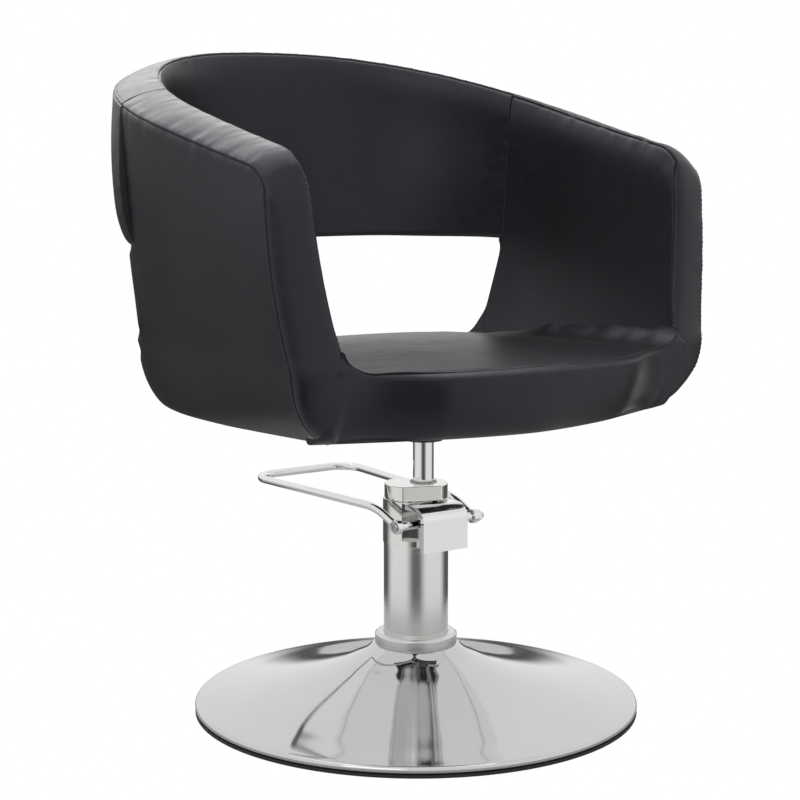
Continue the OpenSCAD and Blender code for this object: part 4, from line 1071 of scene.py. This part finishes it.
def add(tree, kind, **values):
    """A node of a kind, with values for its inputs. An underscore stands for a space."""
    node = tree.nodes.new("ShaderNode" + kind)
    for label, value in values.items():
        node.inputs[label.replace("_", " ")].default_value = value
    return node


def wire(tree, *pairs):
    """Links outputs to inputs, pair by pair."""
    for output, socket in pairs:
        tree.links.new(output, socket)


def joined(tree, mask, first, second):
    """Two shaders, mixed by a mask."""
    node = add(tree, "MixShader")
    wire(tree, *zip((mask, first, second), node.inputs))
    return node.outputs[0]


def directly_seen(tree, path):
    """1 for what the camera sees, also through glass."""
    return math_node(tree, "MAXIMUM", path.outputs["Is Camera Ray"],
                     path.outputs["Is Transmission Ray"])


def ranged(tree, value, low, high):
    node = add(tree, "MapRange", To_Min=low, To_Max=high)
    wire(tree, (value, node.inputs["Value"]))
    return node.outputs["Result"]


def blended(tree, mask, dark, light):
    node = add(tree, "Mix")
    node.data_type = "RGBA"
    tree.links.new(mask, node.inputs["Factor"])
    for socket, value in ((node.inputs[6], dark), (node.inputs[7], light)):
        socket.default_value = (*value, 1.0)
    return node.outputs[2]


GRAIN_WARP = 0.0012  # how far noise shifts the cells of the leatherette's grain
BLOTCH_SHADE, FIBRE_SHADE = 0.93, 0.6  # dark parts of metal and of plywood, over their colours
LINE_DEPTH = 0.00005  # depth of the lines in turned metal


def bump(tree, shader, height, strength, distance):
    node = add(tree, "Bump", Strength=strength, Distance=distance)
    wire(tree, (height, node.inputs["Height"]), (node.outputs["Normal"], shader.inputs["Normal"]))


def grain_group():
    """Fine pebbled grain with creases between the cells, and a slow change of tone."""
    group, start, end = new_group(
        "Leatherette grain",
        [("Vector", "NodeSocketVector", None), ("Cells", "NodeSocketFloat", 800.0)],
        [("Height", "NodeSocketFloat"), ("Tone", "NodeSocketFloat"), ("Worn", "NodeSocketFloat")])
    warp = add(group, "TexNoise", Scale=260.0, Detail=2.0)
    cells = add(group, "TexVoronoi")
    cells.feature = "SMOOTH_F1"
    cells.inputs["Smoothness"].default_value = 0.55
    shift = add(group, "VectorMath")
    shift.operation = "MULTIPLY_ADD"
    shift.inputs[1].default_value = (GRAIN_WARP, GRAIN_WARP, GRAIN_WARP)
    tone = add(group, "TexNoise", Scale=9.0, Detail=4.0)
    rub = add(group, "TexNoise", Scale=42.0, Detail=6.0)
    place = start.outputs["Vector"]
    wire(group, *((place, node.inputs["Vector"]) for node in (warp, tone, rub)),
         (warp.outputs["Color"], shift.inputs[0]), (place, shift.inputs[2]),
         (shift.outputs["Vector"], cells.inputs["Vector"]),
         (start.outputs["Cells"], cells.inputs["Scale"]),
         (cells.outputs["Distance"], end.inputs["Height"]),
         (tone.outputs["Fac"], end.inputs["Tone"]), (rub.outputs["Fac"], end.inputs["Worn"]))
    return group


def smear_group():
    """Faint smears and fine scratches of plated and turned metal."""
    group, start, end = new_group(
        "Metal smears",
        [("Vector", "NodeSocketVector", None), ("Lines", "NodeSocketFloat", 900.0),
         ("Blotches", "NodeSocketFloat", 14.0)],
        [("Lines", "NodeSocketFloat"), ("Blotches", "NodeSocketFloat")])
    split = add(group, "SeparateXYZ")
    lines, blot = add(group, "TexNoise", Detail=3.0), add(group, "TexNoise", Detail=5.0)
    lines.noise_dimensions = "1D"
    place = start.outputs["Vector"]
    wire(group, (place, split.inputs["Vector"]), (split.outputs["Z"], lines.inputs["W"]),
         (start.outputs["Lines"], lines.inputs["Scale"]), (place, blot.inputs["Vector"]),
         (start.outputs["Blotches"], blot.inputs["Scale"]),
         (lines.outputs["Fac"], end.inputs["Lines"]),
         (blot.outputs["Fac"], end.inputs["Blotches"]))
    return group


def placed(tree, group, **values):
    """A group node on Object coordinates, with its own values."""
    coords, node = add(tree, "TexCoord"), add(tree, "Group")
    node.node_tree = group
    wire(tree, (coords.outputs["Object"], node.inputs["Vector"]))
    for label, value in values.items():
        node.inputs[label].default_value = value
    return node


def painted_glow_below(made, high=0.50, low=0.46):
    """Painted reflection: below some height a piece glows pale white, by an emission that only
    reflected rays see, so that it shows pale in the shiny base under it.
    """
    tree, shader = nodes_of(made)
    coords, split = add(tree, "TexCoord"), add(tree, "SeparateXYZ")
    wire(tree, (coords.outputs["Object"], split.inputs["Vector"]))
    mask = math_node(tree, "ADD", math_node(tree, "MULTIPLY", split.outputs["Z"],
                                            -1.0 / (high - low)), high / (high - low))
    mask.node.use_clamp = True
    # painted reflection: this emission is the pale glow seen in the shiny base
    path, painted_glow = add(tree, "LightPath"), add(tree, "Emission", Strength=0.95)
    seen = math_node(tree, "MULTIPLY", mask, path.outputs["Is Glossy Ray"])
    wire(tree, (joined(tree, seen, shader.outputs[0], painted_glow.outputs[0]),
                tree.nodes["Material Output"].inputs["Surface"]))


def leatherette(name, base, rough, grain, group):
    made = matt(name, base, rough, group, cells=1.0 / grain, strength=0.22, depth=0.0004,
                spread=0.07, lighter=1.5, least=0.001)
    _, shader = nodes_of(made)
    shader.inputs["IOR"].default_value = 1.44
    shader.inputs["Specular Tint"].default_value = (0.84, 0.90, 1.0, 1.0)
    # painted reflection: the cover's lower part glows pale in the shiny base under it
    painted_glow_below(made)
    return made


def metal(name, base, rough, spread, group, lines=900.0, line_bump=0.0, blotches=14.0):
    made = bpy.data.materials.new(name)
    tree, shader = nodes_of(made)
    smear = placed(tree, group, Lines=lines, Blotches=blotches)
    mask = smear.outputs["Blotches"]
    wire(tree, (blended(tree, mask, tuple(c * BLOTCH_SHADE for c in base), base),
                shader.inputs["Base Color"]),
         (ranged(tree, mask, max(0.0, rough - spread), rough + spread),
          shader.inputs["Roughness"]))
    shader.inputs["Metallic"].default_value = 1.0
    if line_bump:
        bump(tree, shader, smear.outputs["Lines"], line_bump, LINE_DEPTH)
    return made


def matt(name, base, rough, group, cells, strength=0.3, depth=0.0003, spread=0.05, lighter=1.2,
         least=0.0):
    made = bpy.data.materials.new(name)
    tree, shader = nodes_of(made)
    skin = placed(tree, group, Cells=cells)
    light = tuple(min(1.0, c * lighter + least) for c in base)
    wire(tree, (blended(tree, skin.outputs["Tone"], base, light), shader.inputs["Base Color"]),
         (ranged(tree, skin.outputs["Worn"], rough - spread, rough + spread),
          shader.inputs["Roughness"]))
    bump(tree, shader, skin.outputs["Height"], strength, depth)
    return made


def plywood(base, group):
    made = bpy.data.materials.new("Birch plywood")
    tree, shader = nodes_of(made)
    smear = placed(tree, group, Lines=520.0, Blotches=24.0)
    both = math_node(tree, "MULTIPLY", smear.outputs["Lines"], smear.outputs["Blotches"])
    wire(tree, (blended(tree, math_node(tree, "MULTIPLY", both, 3.0),
                        tuple(c * FIBRE_SHADE for c in base), base),
                shader.inputs["Base Color"]))
    shader.inputs["Roughness"].default_value = 0.7
    return made


MATERIALS = {}


def material(name):
    """The named finish, made when it is first asked for."""
    if not MATERIALS:
        f = bpy.context.scene.chair_finish
        grain, smears = grain_group(), smear_group()
        MATERIALS.update({
            "black_leatherette": leatherette("Black leatherette", f.leather, f.leather_rough,
                                             f.grain, grain),
            "thread": matt("Thread", f.thread, 0.9, grain, cells=2500.0, strength=0.5),
            # painted shade: the dish's chrome is darker than the bright chrome
            "base_chrome": metal("Base chrome", f.dish, f.chrome_rough, 0.02, smears),
            "bright_chrome": metal("Bright chrome", f.chrome, f.chrome_rough + 0.02, 0.03, smears),
            "satin_aluminium": metal("Satin aluminium", f.satin, f.satin_rough, 0.04, smears,
                                     lines=1400.0, line_bump=0.5),
            "satin_nickel": metal("Satin nickel", f.nickel, 0.24, 0.04, smears, lines=1100.0,
                                  line_bump=0.4),
            "plated_casting": metal("Plated casting", f.cast, 0.13, 0.05, smears, blotches=60.0),
            "zinc_steel": metal("Zinc plated steel", f.steel, 0.3, 0.08, smears, lines=600.0,
                                line_bump=0.2, blotches=40.0),
            "bronze": metal("Sintered bronze", f.bronze, 0.35, 0.06, smears),
            "black_steel": matt("Black powder coat", f.black, 0.5, grain, cells=900.0,
                                strength=0.25),
            "wiper_plastic": matt("Wiper plastic", f.wiper, 0.45, grain, cells=700.0,
                                  strength=0.1),
            "rubber": matt("Black rubber", f.rubber, 0.7, grain, cells=500.0),
            "cast_iron": matt("Painted cast iron", f.iron, 0.65, grain, cells=220.0, strength=0.6),
            "dust_cloth": matt("Dust cloth", f.cloth, 0.9, grain, cells=1500.0, strength=0.6),
            "plywood": plywood(f.wood, smears),
        })
        # painted reflection: the dust cloth glows pale in the shiny base under it
        painted_glow_below(MATERIALS["dust_cloth"])
    return MATERIALS[name]


def dress(*nodes):
    """These CAD nodes keep their shapes and get their finishes."""
    for node in nodes:
        obj, finish = NODES[node], material(SLOTS[node])
        if obj.material_slots:
            for place in obj.material_slots:
                place.material = finish
        else:
            obj.data.materials.append(finish)


def refined(node, name, body, edge, angle=32.0):
    """A merged, smoothly shaded copy of a CAD node with rounded edges stands for it."""
    bm = bmesh.new()
    bm.from_mesh(NODES[node].data)
    bmesh.ops.remove_doubles(bm, verts=bm.verts, dist=WELD)
    bmesh.ops.dissolve_limit(bm, angle_limit=math.radians(1.0), verts=bm.verts, edges=bm.edges)
    piece = finish_piece(name, bm, SLOTS[node], body, (node,), smooth_angle=angle)
    if edge:
        mod = piece.modifiers.new("Edges", "BEVEL")
        mod.width = edge
        mod.segments = 2
        mod.limit_method = "ANGLE"
        mod.angle_limit = math.radians(angle)
        mod.harden_normals = True
    return piece


# ---------------------------------------------------------------- pieces

class PieceOperator:
    """What the operators share: the undo option and the sizes that they read."""
    bl_options = {"REGISTER", "UNDO"}

    @property
    def tub(self):
        return Tub(bpy.context.scene.chair_tub)

    @property
    def seams(self):
        return bpy.context.scene.chair_seams

    @property
    def metal(self):
        return bpy.context.scene.chair_metal


SPIN_STEPS, DISH_STEPS, EYE_STEPS = 160, 224, 64  # facets of round pieces, dish and eyes


def spun_piece(name, outline, edge, slot, nodes):
    """A round piece of the base, spun from an outline with rounded corners."""
    return finish_piece(name, spun(round_corners(outline, edge), SPIN_STEPS), slot, "base", nodes,
                        smooth_angle=40)


def upholstered(name, bm, nodes, shift, mirrored=False):
    if mirrored:
        bmesh.ops.scale(bm, vec=(-1, 1, 1), verts=bm.verts)
        bmesh.ops.recalc_face_normals(bm, faces=bm.faces)
    bmesh.ops.translate(bm, vec=(shift, 0, 0), verts=bm.verts)
    piece = finish_piece(name, bm, "black_leatherette", "seat", nodes, subdivide=1)
    return piece


class CHAIR_OT_arms(PieceOperator, bpy.types.Operator):
    """Make the two padded arms with their front faces and low tails"""
    bl_idname = "chair.arms"
    bl_label = "Arms"

    def execute(self, context):
        tub, seams = self.tub, self.seams
        for side, mirrored, seed in (("left", False, 11.0), ("right", True, 47.0)):
            upholstered("arm_" + side, arm_mesh(tub, seams, seed), ["arm_pad_" + side],
                        tub.s.ram_x, mirrored)
        return {"FINISHED"}


class CHAIR_OT_back(PieceOperator, bpy.types.Operator):
    """Make the padded back above the open window"""
    bl_idname = "chair.back"
    bl_label = "Back"

    def execute(self, context):
        tub = self.tub
        upholstered("backrest", back_mesh(tub, self.seams, seed=83.0), ["back_pad"], tub.s.ram_x)
        return {"FINISHED"}


class CHAIR_OT_seat(PieceOperator, bpy.types.Operator):
    """Make the seat cushion and the panel in front of it"""
    bl_idname = "chair.seat"
    bl_label = "Seat"

    def execute(self, context):
        tub = self.tub
        upholstered("seat_cushion", seat_mesh(tub, self.seams), ["seat_pad"], tub.s.ram_x)
        upholstered("seat_front", front_mesh(tub, self.seams), ["front_pad"], tub.s.ram_x)
        return {"FINISHED"}


class CHAIR_OT_stitching(PieceOperator, bpy.types.Operator):
    """Sew the rows of stitches beside the seams"""
    bl_idname = "chair.stitching"
    bl_label = "Stitching"

    def execute(self, context):
        tub, seams = self.tub, self.seams
        s, inset = tub.s, seams.row_inset
        corner = 1 + tub.cross
        high = tub.rim_at(corner) - s.strip_drop - CROSS_TOP

        def surface(name):
            bm = bmesh.new()
            bm.from_mesh(bpy.data.objects[name].data)
            tree = BVHTree.FromBMesh(bm)
            bm.free()
            return tree

        def on_strip(stations):
            """The rows beside the two seams of the top strip."""
            shares = [inset / (tub.strip(u, 1.0) - tub.strip(u, 0.0)).length for u in stations]
            return [[tub.strip(u, where) for u, where in zip(stations, row)] for row in (
                [INNER_ROW_SHARE * k for k in shares], [1 - k for k in shares])]

        def down(offset, low):
            """A row down the outer face, beside the seam between arm and back."""
            return [tub.outside(corner, mix(high, low, k)) + Vector((0, offset, 0))
                    for k in full(ROW_POINTS["cross"])]

        start = front_start(tub, seams.front_edge_r)
        ring = arm_ring(tub, start, tub.rim_at(start))
        inner, outer = FACE_ROWS
        face = [[ring[j].lerp(ring[OUTER_SEAM + INNER_SEAM - j], inner)
                 for j in range(INNER_SEAM, FOOT + 4, -1)],
                [ring[OUTER_SEAM + j].lerp(ring[INNER_SEAM - j], outer)
                 for j in range(ROW_POINTS["face"])]]
        for row in face:
            for p in row:
                p.y -= seams.front_edge_r * FACE_ROW_DEPTH
        arm = on_strip([mix(start, 1.0, k) for k in even(ROW_POINTS["arm"])]
                       + [1 + (tub.cross - ARM_ROW_SHORT) * k for k in full(ROW_POINTS["bend"])])
        arm += face + [down(-inset, s.window_top_h)]
        turn = tub.cross + BACK_ROW_SHORT
        back = on_strip([1 + mix(turn, 180 - turn, k) for k in full(ROW_POINTS["back"])])
        back += [flipped(down(inset, s.window_top_h + CROSS_FOOT), side) for side in (1, -1)]
        seat = [[Vector((x, tub.front_edge_y(x, s.seat_front_h) + inset,
                         s.seat_front_h + side_rise(tub, seams, x, 0.0)))
                 for x in (mix(-SEAT_ROW_HALF_W, SEAT_ROW_HALF_W, k)
                           for k in full(ROW_POINTS["seat"]))]]
        for name, on, lines, side in (("left", "arm_left", arm, 1), ("right", "arm_right", arm, -1),
                                      ("back", "backrest", back, 1),
                                      ("seat", "seat_cushion", seat, 1)):
            bm = bmesh.new()
            sew(bm, surface(on), [flipped(line, side, s.ram_x) for line in lines], seams)
            finish_piece("stitching_" + name, bm, "black_leatherette", "seat", finish="thread")
        return {"FINISHED"}


CLOTH_INSET, CLOTH_FRONT, CLOTH_REAR = 0.004, 0.014, 0.016  # from the tub's lower edges
CLOTH_T, CLOTH_GAP, CLOTH_SAG = 0.0006, 0.0009, 0.0006  # its thickness, place and waves
CLOTH_CELLS = 48
CLOTH_WAVES, CLOTH_SEED = 9, 1.5  # waves in a metre of the cloth


class CHAIR_OT_dust_cover(PieceOperator, bpy.types.Operator):
    """Stretch the dust cloth under the seat"""
    bl_idname = "chair.dust_cover"
    bl_label = "Dust cover"

    def execute(self, context):
        tub = self.tub
        s = tub.s
        half = tub.pad_x - CLOTH_INSET
        bm = bmesh.new()

        def place(i, j):
            x = mix(-half, half, i / CLOTH_CELLS)
            y = mix(tub.foot_y(x) + CLOTH_FRONT, tub.rear(x, s.bottom_h) - CLOTH_REAR,
                    j / CLOTH_CELLS)
            sag = CLOTH_SAG * noise.noise(Vector((x * CLOTH_WAVES, y * CLOTH_WAVES, CLOTH_SEED)))
            return Vector((x + s.ram_x, y, s.bottom_h + CLOTH_GAP + sag))

        grid(bm, CLOTH_CELLS, CLOTH_CELLS, place)
        bmesh.ops.solidify(bm, geom=bm.faces, thickness=CLOTH_T)
        bmesh.ops.recalc_face_normals(bm, faces=bm.faces)
        cloth = finish_piece("dust_cloth", bm, "dust_cloth", "seat", ("dust_cover",))
        return {"FINISHED"}


# The dish's curve, as shares of its width from the collar and of its height
DISH_SHARES = ((0, 1), (0.05, 0.86), (0.12, 0.74), (0.22, 0.6), (0.38, 0.43), (0.58, 0.26),
               (0.8, 0.11), (1, 0))
CURVE_STEPS, LIP_STEPS = 9, 12  # points between two of these places, and round the lip
FIT, DISH_FIT, LIP_GAP = 0.0001, 0.0004, 0.0002  # gaps at the collar, the dish and its lip


class CHAIR_OT_round_base(PieceOperator, bpy.types.Operator):
    """Spin the chromed dish and its collar"""
    bl_idname = "chair.round_base"
    bl_label = "Round base"

    def execute(self, context):
        m = self.metal
        rim_h = m.pad_h + 2 * m.lip_r
        edge_r = m.base_r - m.lip_r
        neck_r = m.collar_r + m.sheet
        knots = [Vector((mix(neck_r, edge_r, r), mix(rim_h, m.base_top_h, z)))
                 for r, z in DISH_SHARES]
        knots = [knots[0] * 2 - knots[1]] + knots + [knots[-1] * 2 - knots[-2]]
        line = []
        for k in range(1, len(knots) - 2):
            a, b, c, d = knots[k - 1:k + 3]
            for t in even(CURVE_STEPS):
                line.append(0.5 * (2 * b + (c - a) * t + (2 * a - 5 * b + 4 * c - d) * t * t
                                   + (3 * b - a - 3 * c + d) * t ** 3))
        lip = [Vector((edge_r + m.lip_r * math.sin(a), m.pad_h + m.lip_r * (1 + math.cos(a))))
               for a in (math.pi * k for k in full(LIP_STEPS))]
        hole_r = m.column_r + DISH_FIT
        outer = [Vector((hole_r, m.base_top_h))] + line + lip
        inner = [p - Vector((0, m.sheet)) for p in reversed(line) if p.x < edge_r - m.lip_r]
        inner.append(Vector((hole_r, m.base_top_h - m.sheet)))
        inner.insert(0, Vector((edge_r - m.lip_r / 2, m.pad_h + LIP_GAP)))
        finish_piece("base_plate", spun([tuple(p) for p in outer + inner], DISH_STEPS),
                     "base_chrome", "base", ("base_dish",), smooth_angle=50)
        bore, low = m.column_r + FIT, m.base_top_h + FIT
        high = m.base_top_h + m.collar_h
        bevel = m.collar_bevel
        spun_piece("collar", [(bore, low), (m.collar_r, low), (m.collar_r, high - bevel),
                              (m.collar_r - bevel, high), (bore, high)], m.edge,
                   "satin_nickel", ("base_collar",))
        dress("floor_pad", "base_weight", "pump_flange", "flange_bolts", "flange_nuts")
        return {"FINISHED"}


class CHAIR_OT_column(PieceOperator, bpy.types.Operator):
    """Spin the satin column, and refine the ram and the pale wiper ring"""
    bl_idname = "chair.column"
    bl_label = "Column and ram"

    def execute(self, context):
        m = self.metal
        low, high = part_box("pump_column")
        spun_piece("column",
                   box_outline(m.column_r - m.column_wall, m.column_r, low[2], high[2]),
                   m.edge * 0.8, "satin_aluminium", ("pump_column",))
        refined("ram_rod", "ram", "seat", m.edge)
        refined("ram_wiper", "wiper_ring", "base", m.edge)
        dress("pump_foot", "ram_cylinder", "head_seal", "ram_bush", "plunger_barrel", "piston",
              "piston_seal")
        return {"FINISHED"}


class CHAIR_OT_pump_head(PieceOperator, bpy.types.Operator):
    """Refine the pump's head, its cap, the cover box and what moves inside"""
    bl_idname = "chair.pump_head"
    bl_label = "Pump head"

    def execute(self, context):
        edge = self.metal.edge
        for node, name, body, width in (
                ("pump_head", "head_casting", "base", edge * 1.4),
                ("pump_cap", "head_cap", "base", edge * 1.6),
                ("cover_box", "rocker_cover", "base", edge * 0.8),
                ("cover_screws", "cover_screw_heads", "base", edge * 0.4),
                ("stop_pin", "dome_pin", "base", 0.0),
                ("rocker", "rocker_lever", "pedal", edge),
                ("rocker_screw", "rocker_set_screw", "pedal", edge * 0.5),
                ("pump_plunger", "plunger_rod", "plunger", edge * 0.5)):
            refined(node, name, body, width)
        dress("plunger_spring")
        return {"FINISHED"}


KNEE_REACH = 0.022  # length of each leg of the bend between the eye and the level part
EYE_WELD = 0.001  # how far the bar's end reaches into an eye
KNEE_STEPS, BEND_STEPS, BAR_SIDES = 14, 18, 28  # rings of the two bends, facets round the bar
BAR_WELD = 1e-6


class CHAIR_OT_foot_lever(PieceOperator, bpy.types.Operator):
    """Bend the foot lever from round bar, with an eye at each end"""
    bl_idname = "chair.foot_lever"
    bl_label = "Foot lever"

    def path(self):
        m = self.metal
        corner_y = m.back_y - m.corner_r
        corner_x = m.knee_x - (m.corner_r + (m.knee_y - corner_y) * math.sin(m.splay)) / math.cos(
            m.splay)
        eye = Vector((m.eye_x, -m.shaft_y, m.shaft_h))
        knee = Vector((m.knee_x, m.knee_y, m.level_h))
        centre = Vector((corner_x, corner_y, m.level_h))
        leg = centre + m.corner_r * Vector((math.cos(m.splay), -math.sin(m.splay), 0))
        a = knee + (eye - knee).normalized() * KNEE_REACH
        c = knee + (leg - knee).normalized() * KNEE_REACH
        side = [eye + (knee - eye).normalized() * (m.eye_r - EYE_WELD)]
        side += [mix(mix(a, knee, t), mix(knee, c, t), t) for t in full(KNEE_STEPS)]
        side += [centre + m.corner_r * Vector((math.cos(b), math.sin(b), 0))
                 for b in (mix(-m.splay, math.pi / 2, k) for k in full(BEND_STEPS))]
        return side + flipped(reversed(side), -1)

    def execute(self, context):
        m = self.metal
        path = self.path()
        last = len(path) - 1
        rings = []
        for k, p in enumerate(path):
            way = ((path[min(k + 1, last)] - p).normalized()
                   + (p - path[max(k - 1, 0)]).normalized()).normalized()
            side = way.cross(Vector((0, 0, 1))).normalized()
            up = side.cross(way)
            rings.append([p + m.bar_r * (side * math.cos(a) + up * math.sin(a))
                          for a in (math.tau * k for k in even(BAR_SIDES))])
        bm = loft(rings)
        seal(bm, BAR_WELD)
        eyes = bpy.data.meshes.new("eyes")
        outline = round_corners(box_outline(m.eye_bore_r, m.eye_r, -m.eye_t / 2, m.eye_t / 2),
                                m.edge * 1.6)
        for side in (1, -1):
            eye = spun(outline, EYE_STEPS, (side * m.eye_x, -m.shaft_y, m.shaft_h), (1, 0, 0),
                       (0, 0, 1))
            eye.to_mesh(eyes)
            eye.free()
            bm.from_mesh(eyes)
        bpy.data.meshes.remove(eyes)
        finish_piece("lever_loop", bm, "bright_chrome", "pedal", ("foot_lever",), smooth_angle=50)
        for node, name in (("lever_shaft", "lever_axle"), ("lever_screw", "lever_end_screw"),
                           ("lever_nut", "lever_end_nut")):
            refined(node, name, "pedal", m.edge)
        return {"FINISHED"}


class CHAIR_OT_seat_mount(PieceOperator, bpy.types.Operator):
    """Refine the hub and plate under the seat and dress the boards"""
    bl_idname = "chair.seat_mount"
    bl_label = "Seat mount"

    def execute(self, context):
        edge = self.metal.edge
        for node, name, width in (("seat_hub", "hub", edge), ("seat_plate", "mount_plate", edge),
                                  ("plate_bolts", "mount_bolts", edge * 0.7)):
            refined(node, name, "seat", width)
        dress("tee_nuts", "seat_board", "side_panel_left", "side_panel_right", "back_board")
        return {"FINISHED"}


# ---------------------------------------------------------------- stage

# Where the parts of the reflected room blend, as sines of the angles
SIDE_EDGES, FAR_EDGES, CEILING_EDGES = (0.14, 0.62), (-0.6, -0.05), (-0.03, 0.08)


class CHAIR_OT_stage(PieceOperator, bpy.types.Operator):
    """Set up the floor, the soft lamps, the white surroundings and the camera"""
    bl_idname = "chair.stage"
    bl_label = "Stage"

    def lamp(self, name, place, target, width, height, power):
        data = bpy.data.lights.new(name, "AREA")
        data.shape = "RECTANGLE"
        data.size, data.size_y, data.energy = width, height, power
        obj = link(bpy.data.objects.new(name, data))
        obj.location = place
        obj.rotation_euler = (Vector(target) - Vector(place)).to_track_quat("-Z", "Y").to_euler()
        return obj

    def floor(self, st):
        bm = bmesh.new()
        bmesh.ops.create_circle(bm, cap_ends=True, radius=st.floor_r, segments=96)
        mesh = bpy.data.meshes.new("floor")
        bm.to_mesh(mesh)
        bm.free()
        mat = bpy.data.materials.new("Studio floor")
        tree, shader = nodes_of(mat)
        shader.inputs["Base Color"].default_value = (0.8, 0.8, 0.8, 1.0)
        shader.inputs["Roughness"].default_value = 0.9
        shader.inputs["Specular IOR Level"].default_value = 0.0
        part = directly_seen(tree, add(tree, "LightPath"))
        white = add(tree, "Emission")
        wire(tree, (joined(tree, part, shader.outputs[0], white.outputs[0]),
                    tree.nodes["Material Output"].inputs["Surface"]))
        mesh.materials.append(mat)
        link(bpy.data.objects.new("floor", mesh))

    def world(self, st):
        world = bpy.data.worlds.new("Studio")
        bpy.context.scene.world = world
        world.use_nodes = True
        tree = world.node_tree
        tree.nodes.clear()
        coords, split = add(tree, "TexCoord"), add(tree, "SeparateXYZ")
        way = coords.outputs["Generated"]
        wire(tree, (way, split.inputs["Vector"]))
        path, out = add(tree, "LightPath"), add(tree, "OutputWorld")
        pure = (1.0, 1.0, 1.0, 1.0)
        room = add(tree, "Background", Color=pure, Strength=st.room)
        white, shiny = (add(tree, "Background", Color=pure) for _ in range(2))

        def smooth(value, low, high):
            node = add(tree, "MapRange", From_Min=low, From_Max=high, To_Min=0.0, To_Max=1.0)
            node.interpolation_type = "SMOOTHSTEP"
            wire(tree, (value, node.inputs["Value"]))
            return node.outputs["Result"]

        def facing(x, y):
            """How far a direction points along a level one."""
            node = add(tree, "VectorMath")
            node.operation = "DOT_PRODUCT"
            node.inputs[1].default_value = (x, y, 0.0)
            wire(tree, (way, node.inputs[0]))
            return node.outputs["Value"]

        # in reflections: two bright sides left and right of a dark middle and a dark far
        # wall, under a bright ceiling
        across, along = math.cos(st.heading), math.sin(st.heading)
        side = smooth(math_node(tree, "ABSOLUTE", facing(across, along)), *SIDE_EDGES)
        lit = math_node(tree, "MULTIPLY", side, smooth(facing(along, -across), *FAR_EDGES))
        walls = math_node(tree, "ADD", math_node(tree, "MULTIPLY", lit,
                                                 st.room_lit - st.room_dark), st.room_dark)
        lift = add(tree, "Mix")
        lift.inputs["B"].default_value = st.ceiling
        wire(tree, (smooth(split.outputs["Z"], *CEILING_EDGES), lift.inputs["Factor"]),
             (walls, lift.inputs["A"]), (lift.outputs["Result"], shiny.inputs["Strength"]))
        unseen = joined(tree, path.outputs["Is Glossy Ray"], room.outputs[0], shiny.outputs[0])
        wire(tree, (joined(tree, directly_seen(tree, path), unseen, white.outputs[0]),
                    out.inputs["Surface"]))

    def execute(self, context):
        st = context.scene.chair_stage
        self.floor(st)
        self.world(st)
        middle = (0.0, 0.05, 0.6)
        self.lamp("key", (-2.6, -1.6, 2.4), middle, 1.8, 1.8, st.key_power)
        self.lamp("overhead", (0.2, 0.6, 3.0), middle, 2.4, 2.0, st.top_power)
        covered = bpy.data.collections.new("upholstery")
        for name in ("arm_left", "arm_right", "backrest", "seat_cushion", "seat_front"):
            covered.objects.link(bpy.data.objects[name])
        rim = self.lamp("rim", (0.5, 2.9, 2.5), middle, 2.4, 1.2, st.rim_power)
        rim.light_linking.receiver_collection = covered
        camera = bpy.data.cameras.new("camera")
        camera.sensor_width = 36.0
        camera.lens = st.lens
        camera.clip_end = 200.0
        obj = link(bpy.data.objects.new("camera", camera))
        obj.location = (st.camera_x, st.camera_y, st.camera_z)
        obj.rotation_euler = (math.pi / 2 - st.pitch, 0.0, st.heading)
        context.scene.camera = obj
        context.scene.view_settings.view_transform = "Standard"
        return {"FINISHED"}


OPERATORS = (CHAIR_OT_round_base, CHAIR_OT_column, CHAIR_OT_pump_head, CHAIR_OT_foot_lever,
             CHAIR_OT_seat_mount, CHAIR_OT_dust_cover, CHAIR_OT_arms, CHAIR_OT_back,
             CHAIR_OT_seat, CHAIR_OT_stitching, CHAIR_OT_stage)


class CHAIR_PT_panel(bpy.types.Panel):
    """Sizes, finishes and pieces of the styling chair"""
    bl_label = "Styling Chair"
    bl_idname = "CHAIR_PT_panel"
    bl_space_type = "VIEW_3D"
    bl_region_type = "UI"
    bl_category = "Styling Chair"

    def draw(self, context):
        for key, group in PROPERTY_GROUPS.items():
            box = self.layout.box()
            box.label(text=group.__doc__)
            for prop in group.__annotations__:
                box.prop(getattr(context.scene, key), prop)
        for operator in OPERATORS:
            self.layout.operator(operator.bl_idname)


CLASSES = (*PROPERTY_GROUPS.values(), *OPERATORS, CHAIR_PT_panel)


def register():
    for cls in CLASSES:
        bpy.utils.register_class(cls)
    for key, group in PROPERTY_GROUPS.items():
        setattr(bpy.types.Scene, key, PointerProperty(type=group))


def unregister():
    for key in PROPERTY_GROUPS:
        delattr(bpy.types.Scene, key)
    for cls in reversed(CLASSES):
        bpy.utils.unregister_class(cls)


def main():
    register()
    for operator in OPERATORS:
        area, name = operator.bl_idname.split(".")
        getattr(getattr(bpy.ops, area), name)()


if __name__ == "__main__":
    main()
